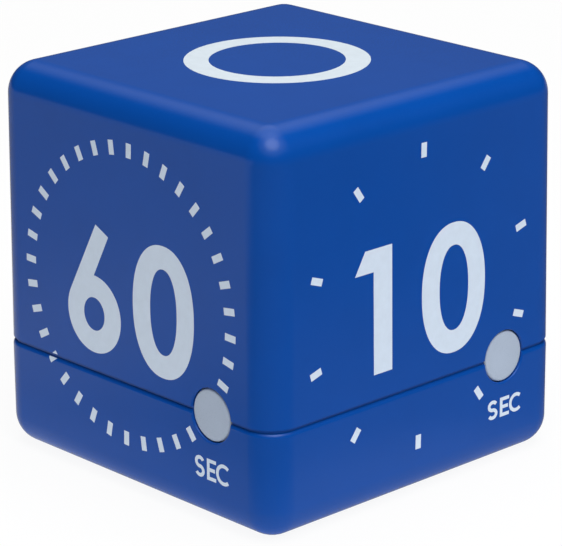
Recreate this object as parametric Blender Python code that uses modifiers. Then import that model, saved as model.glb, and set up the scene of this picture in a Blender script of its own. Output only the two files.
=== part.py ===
"""Cube timer: a two-piece moulded housing with a lamp lens on each timed face,
a display and a battery door in its underside, and the works inside.

Metres, +Z up. The origin is the middle of the underside. The timed faces look
along -Y, +X, +Y and -X, and the off face is on top.
"""
import math

import bmesh
import bpy
from mathutils import Matrix, Vector

# Clearances and cuts
FIT = 0.0003                 # gap between pieces that touch or seat
OVERRUN = 0.001              # how far a cut runs past the face it opens
MERGE_DISTANCE = 0.00001     # points of a turned shape closer than this are one

# Roundness of curved faces
ROD_SIDES = 16
FINE_SIDES = 24
SMALL_SIDES = 10
LAMP_SIDES = 12
CORNER_STEPS = 5
EDGE_STEPS = 2
DOME_STEPS = 3
SHARP_ANGLE = math.radians(35)

# Housing
WALL = 0.0018                # wall of both halves
CORNER_SHARE = 0.1633        # rounding of every outer edge, of the upper half's half width
DRAFT = math.radians(0.5)    # the upper half narrows towards its closed top
BASE_STEP = 0.00014          # the base stands this proud of the upper half
SEAM_GAP = 0.0004            # dark reveal between the halves
UPPER_DEPTH = 0.0433         # from the seam's middle to the top face
LIP_DEPTH = 0.0014           # how far the upper half's lip reaches into the base
LIP_THICKNESS = 0.0006
RIM_THICKNESS = 0.0009       # what the rebate leaves of the base's wall
SIDE_ROOM = 0.00145          # between the battery bay's end walls and the housing

# Cells and contacts
CELL_RADIUS = 0.00525
CELL_LENGTH = 0.0445
NUB_RADIUS = 0.0019
NUB_LENGTH = 0.0010
CELL_EDGE = 0.0006           # rounding of the can's shoulders
JACKET_STEP = 0.00012        # jacket over the bare can ends
SPRING_LENGTH = 0.0040
SPRING_TURNS = 4
SPRING_STEPS = 10            # points on each turn
SPRING_WIDE_RADIUS = 0.0036
SPRING_TIP_RADIUS = 0.0022
WIRE_RADIUS = 0.00025
CONTACT_THICKNESS = 0.0004
CONTACT_WIDTH = 0.0084
CONTACT_HEIGHT = 0.0094
TAIL_WIDTH = 0.0030
DIMPLE_RADIUS = 0.0016

# Battery bay and door
BAY_WALL = 0.0015
BAY_ROOF = 0.0009
BAY_CENTRE_Y = -0.0060
DOOR_RECESS = 0.0001         # the door's face lies this far above the underside
DOOR_THICKNESS = 0.0014
DOOR_MARGIN = 0.0006         # ledge around the bay's mouth that the door closes on
DOOR_CORNER = 0.0012
DOOR_RIB_HEIGHT = 0.0010
DOOR_RIB_THICKNESS = 0.0009
TAB_LENGTH = 0.0009
TAB_THICKNESS = 0.0006
TAB_WIDTH = 0.0050
TAB_SPREAD = 0.0150          # between the middles of the two tabs
PIVOT_HEIGHT = 0.0002        # door's turning axis above the underside
LATCH_WIDTH = 0.0080
LATCH_LENGTH = 0.0070
LATCH_SLOT = 0.0008
GRIP_RADIUS = 0.0004
GRIP_COUNT = 4
GRIP_PITCH = 0.0013
GRIP_LENGTH = 0.0056

# Lenses and lamps
LENS_RADIUS = 0.0040
LENS_OFFSET_SHARE = 0.5933   # of the upper half's half width, to the right seen from outside
LENS_CROWN = 0.00018         # how far the lens's middle stands out of its edge
LENS_SINK = 0.00012          # how far its edge lies inside the upper half's face
LENS_EDGE = 0.0003
LENS_CROWN_SHARES = (0.45, 0.80)   # of the lens's radius, where its crown has a ring
LENS_FLANGE_RADIUS = 0.0049
LENS_FLANGE = 0.0008
LENS_SOCKET_RADIUS = 0.0019  # hollow in the back of the lens, in front of the lamp
LENS_SOCKET_DEPTH = 0.0005
LAMP_RADIUS = 0.0015
LAMP_LENGTH = 0.0053
LAMP_FLANGE_RADIUS = 0.00185
LAMP_FLANGE = 0.0010
LEAD_PITCH = 0.00254
LEAD_WIDTH = 0.0005
LEAD_REACH = 0.0020
LEAD_HOLE_RADIUS = 0.00056

# Screws and bosses
BOSS_RADIUS = 0.0026
WELL_RADIUS = 0.0025
WELL_WALL = 0.0010           # around the screw wells
WELL_BAY_WALL = 0.0011       # between a well and the battery bay
BOSS_GAP = 0.00075           # between a boss and the lamp beside it
WELL_DEPTH = 0.0100
SEAT_THICKNESS = 0.0018      # thick part of the well's end above the screw head
BOSS_HEIGHT = 0.0102         # upper bosses, above their lower ends
RIB_THICKNESS = 0.0012
CASE_SCREW_RADIUS = 0.00115
CASE_SCREW_LENGTH = 0.0140
CASE_HEAD_RADIUS = 0.0021
CASE_HEAD_HEIGHT = 0.0015
HEAD_EDGE = 0.0004
POST_RADIUS = 0.0021
BOARD_SCREW_RADIUS = 0.00085
BOARD_SCREW_LENGTH = 0.0060
BOARD_HEAD_RADIUS = 0.0017
BOARD_HEAD_HEIGHT = 0.0011
BOARD_POST_SHARES = (0.849, -0.811, 0.483)    # of half the board's width, along X
BOARD_POST_BACK = 0.0046     # the two back posts' middles behind the bay

# Board and its works
BOARD_THICKNESS = 0.0012
BOARD_CORNER = 0.0010
BOARD_NOTCH = 0.0030         # half width of the board's cut at a boss
CHIP_WIDTH = 0.0100
CHIP_HEIGHT = 0.0016
CHIP_EDGE = 0.0003
CHIP_MARK_RADIUS = 0.0006
CHIP_MARK_DEPTH = 0.0003
CAPACITOR_RADIUS = 0.0025
CAPACITOR_HEIGHT = 0.0070
CAPACITOR_EDGE = 0.0004
CAPACITOR_GROOVE = 0.0003
BUZZER_ROOM = 0.000445       # from the buzzer to the walls beside it
BUZZER_HEIGHT = 0.0052
BUZZER_PORT_RADIUS = 0.0011
BUZZER_PORT_DEPTH = 0.0012
BUZZER_PIN_PITCH = 0.0040
BUZZER_X = 0.0035
COLLAR_WALL = 0.0008         # sound collar of the base, below the buzzer
SOUND_HOLE_RADIUS = 0.0006
SOUND_RING_SHARE = 0.49      # of the buzzer's radius
SOUND_HOLE_COUNT = 6
CHIP_PLACE_SHARES = (-0.34, -0.30)          # of half the board's width
CAPACITOR_PLACE_SHARES = (-0.04, 0.64)

# Tilt switches
BALL_RADIUS = 0.0020
CAN_WALL = 0.0003
CAN_LENGTH = 0.0092
PLUG_THICKNESS = 0.0010
SPIGOT_HEIGHT = 0.0006
PIN_PITCH = 0.00254
PIN_RADIUS = 0.00025
PIN_REACH = 0.0014
PIN_BEND = 0.0006
PIN_HOLE_RADIUS = 0.00056
PIN_SIDES = 8
TILT_PLACE_SHARES = {"a": (0.20, 0.16), "b": (0.20, -0.16), "c": (-0.34, 0.30)}
TILT_HEADINGS = {"a": math.radians(45), "b": math.radians(-45)}    # a switch without one stands up

# Display
GLASS_LENGTH = 0.0296
GLASS_BACK_ROOM = 0.00384     # from the display's frame to the housing's back wall
GLASS_LAYER = 0.0009         # each of the two glass layers
GLASS_LEDGE = 0.0020         # strip of the lower layer that carries the contacts
FRAME_WALL = 0.0013
FRAME_LID = 0.0012
FRAME_LID_MARGIN = 0.0020    # how far the frame's lid reaches over the glass
FRAME_EAR_LENGTH = 0.0031
FRAME_EAR_WIDTH = 0.0036
STAKE_RADIUS = 0.0008
STAKE_HEAD = 0.0006          # what stands out of the frame's ear
WINDOW_LENGTH = 0.0286
WINDOW_INSET = 0.0009        # the window is this much narrower than the glass on each side
WINDOW_THICKNESS = 0.0010
WINDOW_RECESS = 0.0002
WINDOW_CORNER = 0.0015
WINDOW_LEDGE = 0.0013        # ledge that the window is glued on
DISPLAY_GAP = 0.00045        # between the battery bay and the display's frame
FLEX_WIDTH = 0.0160
FLEX_THICKNESS = 0.0002
FLEX_FOOT = 0.0013           # length of the flex on the glass
FLEX_TOP = 0.0030            # length of the flex along the board
FLEX_BEND = 0.0006

# Sound switch
SWITCH_X = -0.0090
SWITCH_TRAVEL = 0.0020       # each way from the middle
SWITCH_LENGTH = 0.0090
SWITCH_WIDTH = 0.0038
SWITCH_HEIGHT = 0.0035
SWITCH_WALL = 0.0007
LEVER_LENGTH = 0.0016
LEVER_WIDTH = 0.0014
LEVER_HEIGHT = 0.0040
LEVER_HEAD_LENGTH = 0.0024
LEVER_HEAD_HEIGHT = 0.0016
CAP_LENGTH = 0.0104
CAP_WIDTH_SHARE = 0.505      # of the room between the battery bay and the front wall
CAP_THICKNESS = 0.0010
THUMB_LENGTH = 0.0026
THUMB_WIDTH = 0.0026
THUMB_SINK = 0.0004          # the thumb piece ends this far above the underside
THUMB_GROOVE = 0.0003
FORK_LENGTH = 0.0042
FORK_WIDTH = 0.0030
FORK_GRIP = 0.0030           # how far the fork reaches over the lever
GUIDE_THICKNESS = 0.0008
GUIDE_HEIGHT = 0.0015

# Heights, stacked up from the underside
DOOR_TOP = DOOR_RECESS + DOOR_THICKNESS
LEDGE_HEIGHT = DOOR_TOP + FIT
CELL_HEIGHT = LEDGE_HEIGHT + CELL_RADIUS
BAY_CEILING = CELL_HEIGHT + CELL_RADIUS + FIT
BAY_TOP = BAY_CEILING + BAY_ROOF
BOARD_BOTTOM = BAY_TOP + FIT
BOARD_TOP = BOARD_BOTTOM + BOARD_THICKNESS
SEAM_HEIGHT = BOARD_TOP + FIT + LAMP_FLANGE_RADIUS
BASE_RIM = SEAM_HEIGHT - SEAM_GAP / 2
UPPER_RIM = SEAM_HEIGHT + SEAM_GAP / 2
TOP_HEIGHT = SEAM_HEIGHT + UPPER_DEPTH
LIP_BOTTOM = BASE_RIM - LIP_DEPTH
REBATE_BOTTOM = LIP_BOTTOM - FIT
UPPER_BOSS_BOTTOM = SEAM_HEIGHT - SEAM_GAP
LOWER_BOSS_TOP = UPPER_BOSS_BOTTOM - FIT

# Half sizes seen from above
BAY_HALF_LENGTH = (CELL_LENGTH + SPRING_LENGTH) / 2 + CONTACT_THICKNESS + 2 * FIT
CELL_SPACING = 2 * CELL_RADIUS + FIT
BAY_HALF_WIDTH = CELL_SPACING / 2 + CELL_RADIUS + FIT
BAY_FRONT = BAY_CENTRE_Y - BAY_HALF_WIDTH
BAY_BACK = BAY_CENTRE_Y + BAY_HALF_WIDTH
UPPER_HALF = BAY_HALF_LENGTH + BAY_WALL + SIDE_ROOM + WALL
BASE_HALF = UPPER_HALF + BASE_STEP
CORNER_RADIUS = UPPER_HALF * CORNER_SHARE
UPPER_INNER = UPPER_HALF - WALL
BASE_INNER = BASE_HALF - WALL
REBATE_HALF = BASE_HALF - RIM_THICKNESS
LIP_HALF = REBATE_HALF - FIT
LENS_OFFSET = UPPER_HALF * LENS_OFFSET_SHARE
LENS_FLANGE_FRONT = UPPER_INNER - FIT
LENS_BACK = LENS_FLANGE_FRONT - LENS_FLANGE
LAMP_TIP = LENS_BACK - FIT
LAMP_BACK = LAMP_TIP - LAMP_LENGTH
LEAD_PLACE = LAMP_BACK - LEAD_REACH
BOARD_HALF = LENS_BACK - 2 * FIT
BOSS_OUT = LENS_OFFSET + LAMP_FLANGE_RADIUS + BOSS_GAP + BOSS_RADIUS
BOSS_SIDE = WELL_RADIUS + WELL_BAY_WALL - BAY_FRONT
FRONT_STRIP_Y = (BAY_FRONT - BAY_WALL - BASE_INNER) / 2
FRONT_STRIP_WIDTH = BASE_INNER + BAY_FRONT - BAY_WALL
CAP_WIDTH = FRONT_STRIP_WIDTH * CAP_WIDTH_SHARE
BUZZER_RADIUS = FRONT_STRIP_WIDTH / 2 - BUZZER_ROOM
SOUND_RING_RADIUS = BUZZER_RADIUS * SOUND_RING_SHARE
GLASS_FRONT = BAY_BACK + BAY_WALL + DISPLAY_GAP + FRAME_WALL + FIT
GLASS_BACK = BASE_INNER - GLASS_BACK_ROOM - FRAME_WALL - FIT
GLASS_WIDTH = GLASS_BACK - GLASS_FRONT
WINDOW_WIDTH = GLASS_WIDTH - 2 * WINDOW_INSET
DISPLAY_Y = (GLASS_FRONT + GLASS_BACK) / 2
DOOR_HALF_LENGTH = BAY_HALF_LENGTH + DOOR_MARGIN
DOOR_HALF_WIDTH = BAY_HALF_WIDTH + DOOR_MARGIN - FIT
PIVOT_X = -DOOR_HALF_LENGTH
CONTACT_X = BAY_HALF_LENGTH - FIT - CONTACT_THICKNESS / 2
CELL_NEAR_Y = BAY_CENTRE_Y - CELL_SPACING / 2
CELL_FAR_Y = BAY_CENTRE_Y + CELL_SPACING / 2

FACES = ("front", "right", "back", "left")
AXES = {"X": 0, "Y": 1, "Z": 2}


def clear_scene():
    for thing in list(bpy.data.objects):
        bpy.data.objects.remove(thing, do_unlink=True)


def new_collection(name):
    collection = bpy.data.collections.new(name)
    bpy.context.scene.collection.children.link(collection)
    return collection


def paint(red, green, blue):
    """A colour given in display values from 0 to 255, as the linear colour Blender mixes."""
    def linear(value):
        share = value / 255
        return share / 12.92 if share <= 0.04045 else ((share + 0.055) / 1.055) ** 2.4
    return (linear(red), linear(green), linear(blue), 1)


def finish(name, colour, roughness, metallic=0, alpha=1):
    material = bpy.data.materials.new(name)
    material.use_nodes = True
    shader = material.node_tree.nodes["Principled BSDF"]
    shader.inputs["Base Color"].default_value = colour
    shader.inputs["Roughness"].default_value = roughness
    shader.inputs["Metallic"].default_value = metallic
    shader.inputs["Alpha"].default_value = alpha
    return material


# Shapes added to a form, which is a bmesh that holds one or more solids

def add_block(form, low, high, radius=0, axis="Z", steps=EDGE_STEPS):
    """A box between two corners, with the edges along one axis rounded."""
    verts = bmesh.ops.create_cube(form, size=1)["verts"]
    for vert in verts:
        vert.co = Vector(high[i] if vert.co[i] > 0 else low[i] for i in range(3))
    if radius:
        across = [i for i in range(3) if i != AXES[axis]]
        edges = {edge for vert in verts for edge in vert.link_edges
                 if all(abs(edge.verts[0].co[i] - edge.verts[1].co[i]) < FIT / 2 for i in across)}
        bmesh.ops.bevel(form, geom=list(edges), offset=radius, offset_type="OFFSET", segments=steps,
                        profile=0.5, affect="EDGES", clamp_overlap=True, material=-1)


def add_rod(form, radius, start, end, end_radius=None, sides=ROD_SIDES):
    """A cylinder or cone from one point to another."""
    start, end = Vector(start), Vector(end)
    along = end - start
    turn = along.to_track_quat("Z", "Y").to_matrix().to_4x4()
    bmesh.ops.create_cone(form, cap_ends=True, segments=sides, radius1=radius,
                          radius2=radius if end_radius is None else end_radius,
                          depth=along.length, matrix=Matrix.Translation((start + end) / 2) @ turn)


def upright(form, radius, x, y, bottom, top, sides=ROD_SIDES):
    add_rod(form, radius, (x, y, bottom), (x, y, top), sides=sides)


def add_wire(form, radius, points):
    """A round wire along the points, added to a form with its caps closed."""
    curve = bpy.data.curves.new("wire", "CURVE")
    curve.dimensions = "3D"
    curve.bevel_depth = radius
    curve.bevel_resolution = 1
    curve.use_fill_caps = True
    spline = curve.splines.new("POLY")
    spline.points.add(len(points) - 1)
    for control, point in zip(spline.points, points):
        control.co = (*point, 1)
    wire = bpy.data.objects.new("wire", curve)
    PARTS.objects.link(wire)
    bpy.context.view_layer.update()
    mesh = bpy.data.meshes.new_from_object(wire.evaluated_get(bpy.context.evaluated_depsgraph_get()))
    bpy.data.objects.remove(wire, do_unlink=True)
    form.from_mesh(mesh)
    bmesh.ops.remove_doubles(form, verts=form.verts, dist=radius / 100)


def quarter(x, y, turns):
    """A point turned by quarter turns about the cube's upright axis."""
    for _ in range(turns):
        x, y = -y, x
    return x, y


def quarter_block(form, low, high, turns):
    """A box turned about the cube's upright axis."""
    first = quarter(low[0], low[1], turns)
    second = quarter(high[0], high[1], turns)
    add_block(form, (min(first[0], second[0]), min(first[1], second[1]), low[2]),
              (max(first[0], second[0]), max(first[1], second[1]), high[2]))


# Objects made from forms

def make_object(form, name, collection):
    mesh = bpy.data.meshes.new(name)
    form.to_mesh(mesh)
    form.free()
    made = bpy.data.objects.new(name, mesh)
    collection.objects.link(made)
    return made


def make_piece(form, name, material):
    made = make_object(form, name, PARTS)
    made.data.materials.append(material)
    shade_round(made.data)
    return made


def shade_round(mesh):
    mesh.shade_smooth()
    mesh.set_sharp_from_angle(angle=SHARP_ANGLE)


def hide_tool(tool):
    for collection in list(tool.users_collection):
        collection.objects.unlink(tool)
    CUTTERS.objects.link(tool)
    tool.hide_render = True
    tool.display_type = "WIRE"


def combine(target, tool, operation):
    """Join a tool object to the target, or cut it out of the target."""
    hide_tool(tool)
    modifier = target.modifiers.new(tool.name, "BOOLEAN")
    modifier.operation = operation
    modifier.solver = "EXACT"
    modifier.object = tool


def join(target, name, form):
    combine(target, make_object(form, name, PARTS), "UNION")


def cut(target, name, form):
    combine(target, make_object(form, name, PARTS), "DIFFERENCE")


def set_origin(made, point):
    """Move an object's origin to a point of its joint's axis, with its shape left in place."""
    made.data.transform(Matrix.Translation(-Vector(point)))
    made.location = point


def turned(name, profile, material, sides=ROD_SIDES):
    """A profile of (radius, height) points, from the top down the outer side, spun about Z."""
    form = bmesh.new()
    verts = [form.verts.new((radius, 0, height)) for radius, height in profile]
    for first, second in zip(verts, verts[1:]):
        form.edges.new((first, second))
    made = make_object(form, name, PARTS)
    screw = made.modifiers.new("turn", "SCREW")
    screw.steps = sides
    screw.render_steps = sides
    screw.use_merge_vertices = True
    screw.merge_threshold = MERGE_DISTANCE
    screw.use_smooth_shade = True
    made.data.materials.append(material)
    return made


def stand(made, point, direction=(0, 0, 1), side=(1, 0, 0)):
    """Place an object so that its Z runs along a direction and its X along a side."""
    along = Vector(direction).normalized()
    across = Vector(side).normalized()
    third = along.cross(across)
    turn = Matrix((across, third, along)).transposed().to_4x4()
    made.matrix_world = Matrix.Translation(point) @ turn
    return made


def arc(centre, radius, start, end, steps):
    """Points on an arc in a profile, with angles in degrees."""
    angles = [math.radians(start + (end - start) * step / steps) for step in range(steps + 1)]
    return [(centre[0] + radius * math.cos(angle), centre[1] + radius * math.sin(angle))
            for angle in angles]


# Housing

def open_shell(name, half, far_half, open_height, closed_height, material):
    """A box open at one end, with rounded edges, narrowing to its closed end."""
    form = bmesh.new()
    bmesh.ops.create_cube(form, size=1)
    closed_sign = 1 if closed_height > open_height else -1
    for vert in form.verts:
        closed = vert.co.z * closed_sign > 0
        reach = far_half if closed else half
        vert.co = Vector((math.copysign(reach, vert.co.x), math.copysign(reach, vert.co.y),
                          closed_height if closed else open_height))
    lid = [face for face in form.faces if face.normal.z * closed_sign < 0 and abs(face.normal.z) > 1 / 2]
    bmesh.ops.delete(form, geom=lid, context="FACES_ONLY")
    edges = [edge for edge in form.edges if not edge.is_boundary]
    bmesh.ops.bevel(form, geom=edges, offset=CORNER_RADIUS, offset_type="OFFSET", segments=CORNER_STEPS,
                    profile=0.5, affect="EDGES", clamp_overlap=True, material=-1)
    made = make_piece(form, name, material)
    wall = made.modifiers.new("wall", "SOLIDIFY")
    wall.thickness = WALL
    wall.offset = -1
    wall.use_even_offset = True
    return made


def boss_places():
    return [quarter(BOSS_OUT, -BOSS_SIDE, turns) for turns in range(len(FACES))]


def lens_hole(form, turns):
    """A hole through the housing on the seam, for the lens of one face."""
    radius = LENS_RADIUS + FIT
    inner = quarter(LENS_OFFSET, -LENS_FLANGE_FRONT, turns)
    outer = quarter(LENS_OFFSET, -BASE_HALF - OVERRUN, turns)
    add_rod(form, radius, (*inner, SEAM_HEIGHT), (*outer, SEAM_HEIGHT), sides=FINE_SIDES)


def ring_form(outer, inner, bottom, top, outer_radius):
    """A square ring: its outside as one form and its hole as another."""
    outside, hole = bmesh.new(), bmesh.new()
    add_block(outside, (-outer, -outer, bottom), (outer, outer, top), outer_radius, steps=CORNER_STEPS)
    inner_radius = outer_radius - (outer - inner)
    add_block(hole, (-inner, -inner, bottom - OVERRUN), (inner, inner, top + OVERRUN), inner_radius,
              steps=CORNER_STEPS)
    return outside, hole


def make_main_shell(material):
    top_half = UPPER_HALF - (TOP_HEIGHT - UPPER_RIM) * math.tan(DRAFT)
    shell = open_shell("main_shell", UPPER_HALF, top_half, UPPER_RIM, TOP_HEIGHT, material)

    outside, hole = ring_form(LIP_HALF, LIP_HALF - LIP_THICKNESS, LIP_BOTTOM, UPPER_RIM + LIP_DEPTH,
                              CORNER_RADIUS - RIM_THICKNESS - FIT)
    lip = make_object(outside, "lip", PARTS)
    cut(lip, "lip_hole", hole)
    combine(shell, lip, "UNION")

    bosses, ribs, pilots, lens_holes = bmesh.new(), bmesh.new(), bmesh.new(), bmesh.new()
    boss_top = UPPER_BOSS_BOTTOM + BOSS_HEIGHT
    pilot_top = WELL_DEPTH + CASE_SCREW_LENGTH + FIT
    for turns, (x, y) in enumerate(boss_places()):
        upright(bosses, BOSS_RADIUS, x, y, UPPER_BOSS_BOTTOM, boss_top)
        upright(pilots, CASE_SCREW_RADIUS + FIT, x, y, UPPER_BOSS_BOTTOM - OVERRUN, pilot_top,
                sides=SMALL_SIDES)
        rib_bottom = UPPER_RIM + RIB_THICKNESS / 2
        rib_end = UPPER_HALF - WALL / 2 - (boss_top - UPPER_RIM) * math.tan(DRAFT)
        quarter_block(ribs, (BOSS_OUT, -BOSS_SIDE - RIB_THICKNESS / 2, rib_bottom),
                      (rib_end, -BOSS_SIDE + RIB_THICKNESS / 2, boss_top - RIB_THICKNESS), turns)
        lens_hole(lens_holes, turns)
    join(shell, "upper_bosses", bosses)
    join(shell, "upper_ribs", ribs)
    cut(shell, "upper_pilots", pilots)
    cut(shell, "upper_lens_holes", lens_holes)
    return shell


def base_bosses(base):
    """Screw wells with their webs, board posts, and the bosses' upper ends."""
    wells, webs, ends = bmesh.new(), bmesh.new(), bmesh.new()
    floor = WALL / 2
    well_top = WELL_DEPTH + SEAT_THICKNESS
    for turns, (x, y) in enumerate(boss_places()):
        upright(wells, WELL_RADIUS + WELL_WALL, x, y, floor, well_top)
        upright(ends, BOSS_RADIUS, x, y, WELL_DEPTH, LOWER_BOSS_TOP)
        quarter_block(webs, (BOSS_OUT, -BOSS_SIDE - RIB_THICKNESS / 2, CORNER_RADIUS),
                      (BASE_HALF - WALL / 2, -BOSS_SIDE + RIB_THICKNESS / 2, well_top - WALL), turns)
    for x, y in board_posts():
        upright(wells, POST_RADIUS, x, y, floor, BAY_TOP)
    join(base, "wells_and_posts", wells)
    join(base, "boss_webs", webs)
    join(base, "boss_ends", ends)


def board_posts():
    back = BAY_BACK + BAY_WALL + BOARD_POST_BACK
    right, left, front = (BOARD_HALF * share for share in BOARD_POST_SHARES)
    return [(right, back), (left, back), (front, FRONT_STRIP_Y)]


def base_fittings(base):
    """Sound collar, display stakes and the guides of the sound switch."""
    collar = bmesh.new()
    floor = WALL / 2
    upright(collar, BUZZER_RADIUS, BUZZER_X, FRONT_STRIP_Y, floor, BAY_TOP - BUZZER_HEIGHT - FIT)
    for x in (-stake_x(), stake_x()):
        upright(collar, STAKE_RADIUS, x, DISPLAY_Y, floor, frame_ear_top() + STAKE_HEAD, sides=SMALL_SIDES)
    guide_reach = CAP_LENGTH / 2 + SWITCH_TRAVEL
    guide = CAP_WIDTH / 2 + FIT
    for side in (-1, 1):
        near, far = sorted((side * guide, side * (guide + GUIDE_THICKNESS)))
        add_block(collar, (SWITCH_X - guide_reach, FRONT_STRIP_Y + near, floor),
                  (SWITCH_X + guide_reach, FRONT_STRIP_Y + far, WALL + GUIDE_HEIGHT))
    join(base, "collar_stakes_and_guides", collar)


def base_openings(base):
    """Everything cut through the base's floor."""
    mouth = bmesh.new()
    add_block(mouth, (-BAY_HALF_LENGTH, BAY_FRONT, -OVERRUN), (BAY_HALF_LENGTH, BAY_BACK, BAY_CEILING))
    cut(base, "bay_space", mouth)

    seat = bmesh.new()
    half_length = DOOR_HALF_LENGTH + FIT
    half_width = DOOR_HALF_WIDTH + FIT
    add_block(seat, (-half_length, BAY_CENTRE_Y - half_width, -OVERRUN),
              (half_length, BAY_CENTRE_Y + half_width, LEDGE_HEIGHT), DOOR_CORNER)
    cut(base, "door_seat", seat)

    pockets = bmesh.new()
    for y in tab_places():
        half = TAB_WIDTH / 2 + FIT
        add_block(pockets, (PIVOT_X - TAB_LENGTH - FIT, y - half, tab_top() - TAB_THICKNESS - FIT),
                  (-BAY_HALF_LENGTH + OVERRUN, y + half, PIVOT_HEIGHT + tab_swing() + FIT))
    cut(base, "tab_pockets", pockets)

    holes = bmesh.new()
    for x, y in boss_places():
        upright(holes, WELL_RADIUS, x, y, -OVERRUN, WELL_DEPTH)
    for x, y in board_posts():
        upright(holes, BOARD_SCREW_RADIUS + FIT, x, y, BOARD_TOP - BOARD_SCREW_LENGTH - OVERRUN,
                BAY_TOP + OVERRUN, sides=SMALL_SIDES)
    upright(holes, BUZZER_RADIUS - COLLAR_WALL, BUZZER_X, FRONT_STRIP_Y, WALL, BAY_TOP)
    cut(base, "wells_and_pilots", holes)

    small = bmesh.new()
    for x, y in boss_places():
        upright(small, CASE_SCREW_RADIUS + FIT, x, y, WELL_DEPTH - OVERRUN, LOWER_BOSS_TOP + OVERRUN,
                sides=SMALL_SIDES)
    upright(small, SOUND_HOLE_RADIUS, BUZZER_X, FRONT_STRIP_Y, -OVERRUN, WALL + OVERRUN, sides=SMALL_SIDES)
    for index in range(SOUND_HOLE_COUNT):
        angle = math.tau * index / SOUND_HOLE_COUNT
        upright(small, SOUND_HOLE_RADIUS, BUZZER_X + SOUND_RING_RADIUS * math.cos(angle),
                FRONT_STRIP_Y + SOUND_RING_RADIUS * math.sin(angle), -OVERRUN, WALL + OVERRUN,
                sides=SMALL_SIDES)
    half_slot = THUMB_LENGTH / 2 + SWITCH_TRAVEL + FIT
    half_wide = THUMB_WIDTH / 2 + FIT
    add_block(small, (SWITCH_X - half_slot, FRONT_STRIP_Y - half_wide, -OVERRUN),
              (SWITCH_X + half_slot, FRONT_STRIP_Y + half_wide, WALL + OVERRUN))
    for y in (CELL_NEAR_Y, CELL_FAR_Y):
        half = TAIL_WIDTH / 2 + FIT
        add_block(small, (-BAY_HALF_LENGTH, y - half, BAY_CEILING - OVERRUN),
                  (-BAY_HALF_LENGTH + CONTACT_THICKNESS + 2 * FIT, y + half, BAY_TOP + OVERRUN))
    cut(base, "screw_sound_and_switch_holes", small)


def window_openings(base):
    """The display's window seat in the underside and the sight hole behind it."""
    seat, sight = bmesh.new(), bmesh.new()
    half_x = WINDOW_LENGTH / 2 + FIT
    half_y = WINDOW_WIDTH / 2 + FIT
    add_block(seat, (-half_x, DISPLAY_Y - half_y, -OVERRUN),
              (half_x, DISPLAY_Y + half_y, WINDOW_RECESS + WINDOW_THICKNESS + FIT), WINDOW_CORNER)
    sight_x = WINDOW_LENGTH / 2 - WINDOW_LEDGE
    sight_y = WINDOW_WIDTH / 2 - WINDOW_LEDGE
    add_block(sight, (-sight_x, DISPLAY_Y - sight_y, -OVERRUN),
              (sight_x, DISPLAY_Y + sight_y, WALL + OVERRUN))
    cut(base, "window_seat", seat)
    cut(base, "sight_hole", sight)


def make_base_shell(material):
    base = open_shell("base_shell", BASE_HALF, BASE_HALF, BASE_RIM, 0, material)
    rebate, lens_holes, bay = bmesh.new(), bmesh.new(), bmesh.new()
    rebate_corner = CORNER_RADIUS - RIM_THICKNESS
    add_block(rebate, (-REBATE_HALF, -REBATE_HALF, REBATE_BOTTOM),
              (REBATE_HALF, REBATE_HALF, BASE_RIM + OVERRUN), rebate_corner, steps=CORNER_STEPS)
    cut(base, "rebate", rebate)
    for turns in range(len(FACES)):
        lens_hole(lens_holes, turns)
    cut(base, "lower_lens_holes", lens_holes)
    add_block(bay, (-BAY_HALF_LENGTH - BAY_WALL, BAY_FRONT - BAY_WALL, WALL / 2),
              (BAY_HALF_LENGTH + BAY_WALL, BAY_BACK + BAY_WALL, BAY_TOP))
    join(base, "bay_box", bay)
    base_bosses(base)
    base_fittings(base)
    base_openings(base)
    window_openings(base)
    return base


# Lenses and lamps, one of each for every timed face

def make_lens(turns, material):
    front = UPPER_HALF - LENS_SINK
    hollow = LENS_BACK + LENS_SOCKET_DEPTH
    profile = [(0, front + LENS_CROWN)]
    for share in LENS_CROWN_SHARES:
        profile.append((LENS_RADIUS * share, front + LENS_CROWN * (1 - share * share)))
    profile += [(LENS_RADIUS - LENS_EDGE, front), (LENS_RADIUS, front - LENS_EDGE),
                (LENS_RADIUS, LENS_FLANGE_FRONT), (LENS_FLANGE_RADIUS, LENS_FLANGE_FRONT),
                (LENS_FLANGE_RADIUS, LENS_BACK), (LENS_SOCKET_RADIUS, LENS_BACK),
                (LENS_SOCKET_RADIUS, hollow), (0, hollow)]
    lens = turned("led_lens_" + FACES[turns], profile, material, sides=FINE_SIDES)
    x, y = quarter(LENS_OFFSET, 0, turns)
    outward = quarter(0, -1, turns)
    return stand(lens, (x, y, SEAM_HEIGHT), (*outward, 0), (0, 0, 1))


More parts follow.
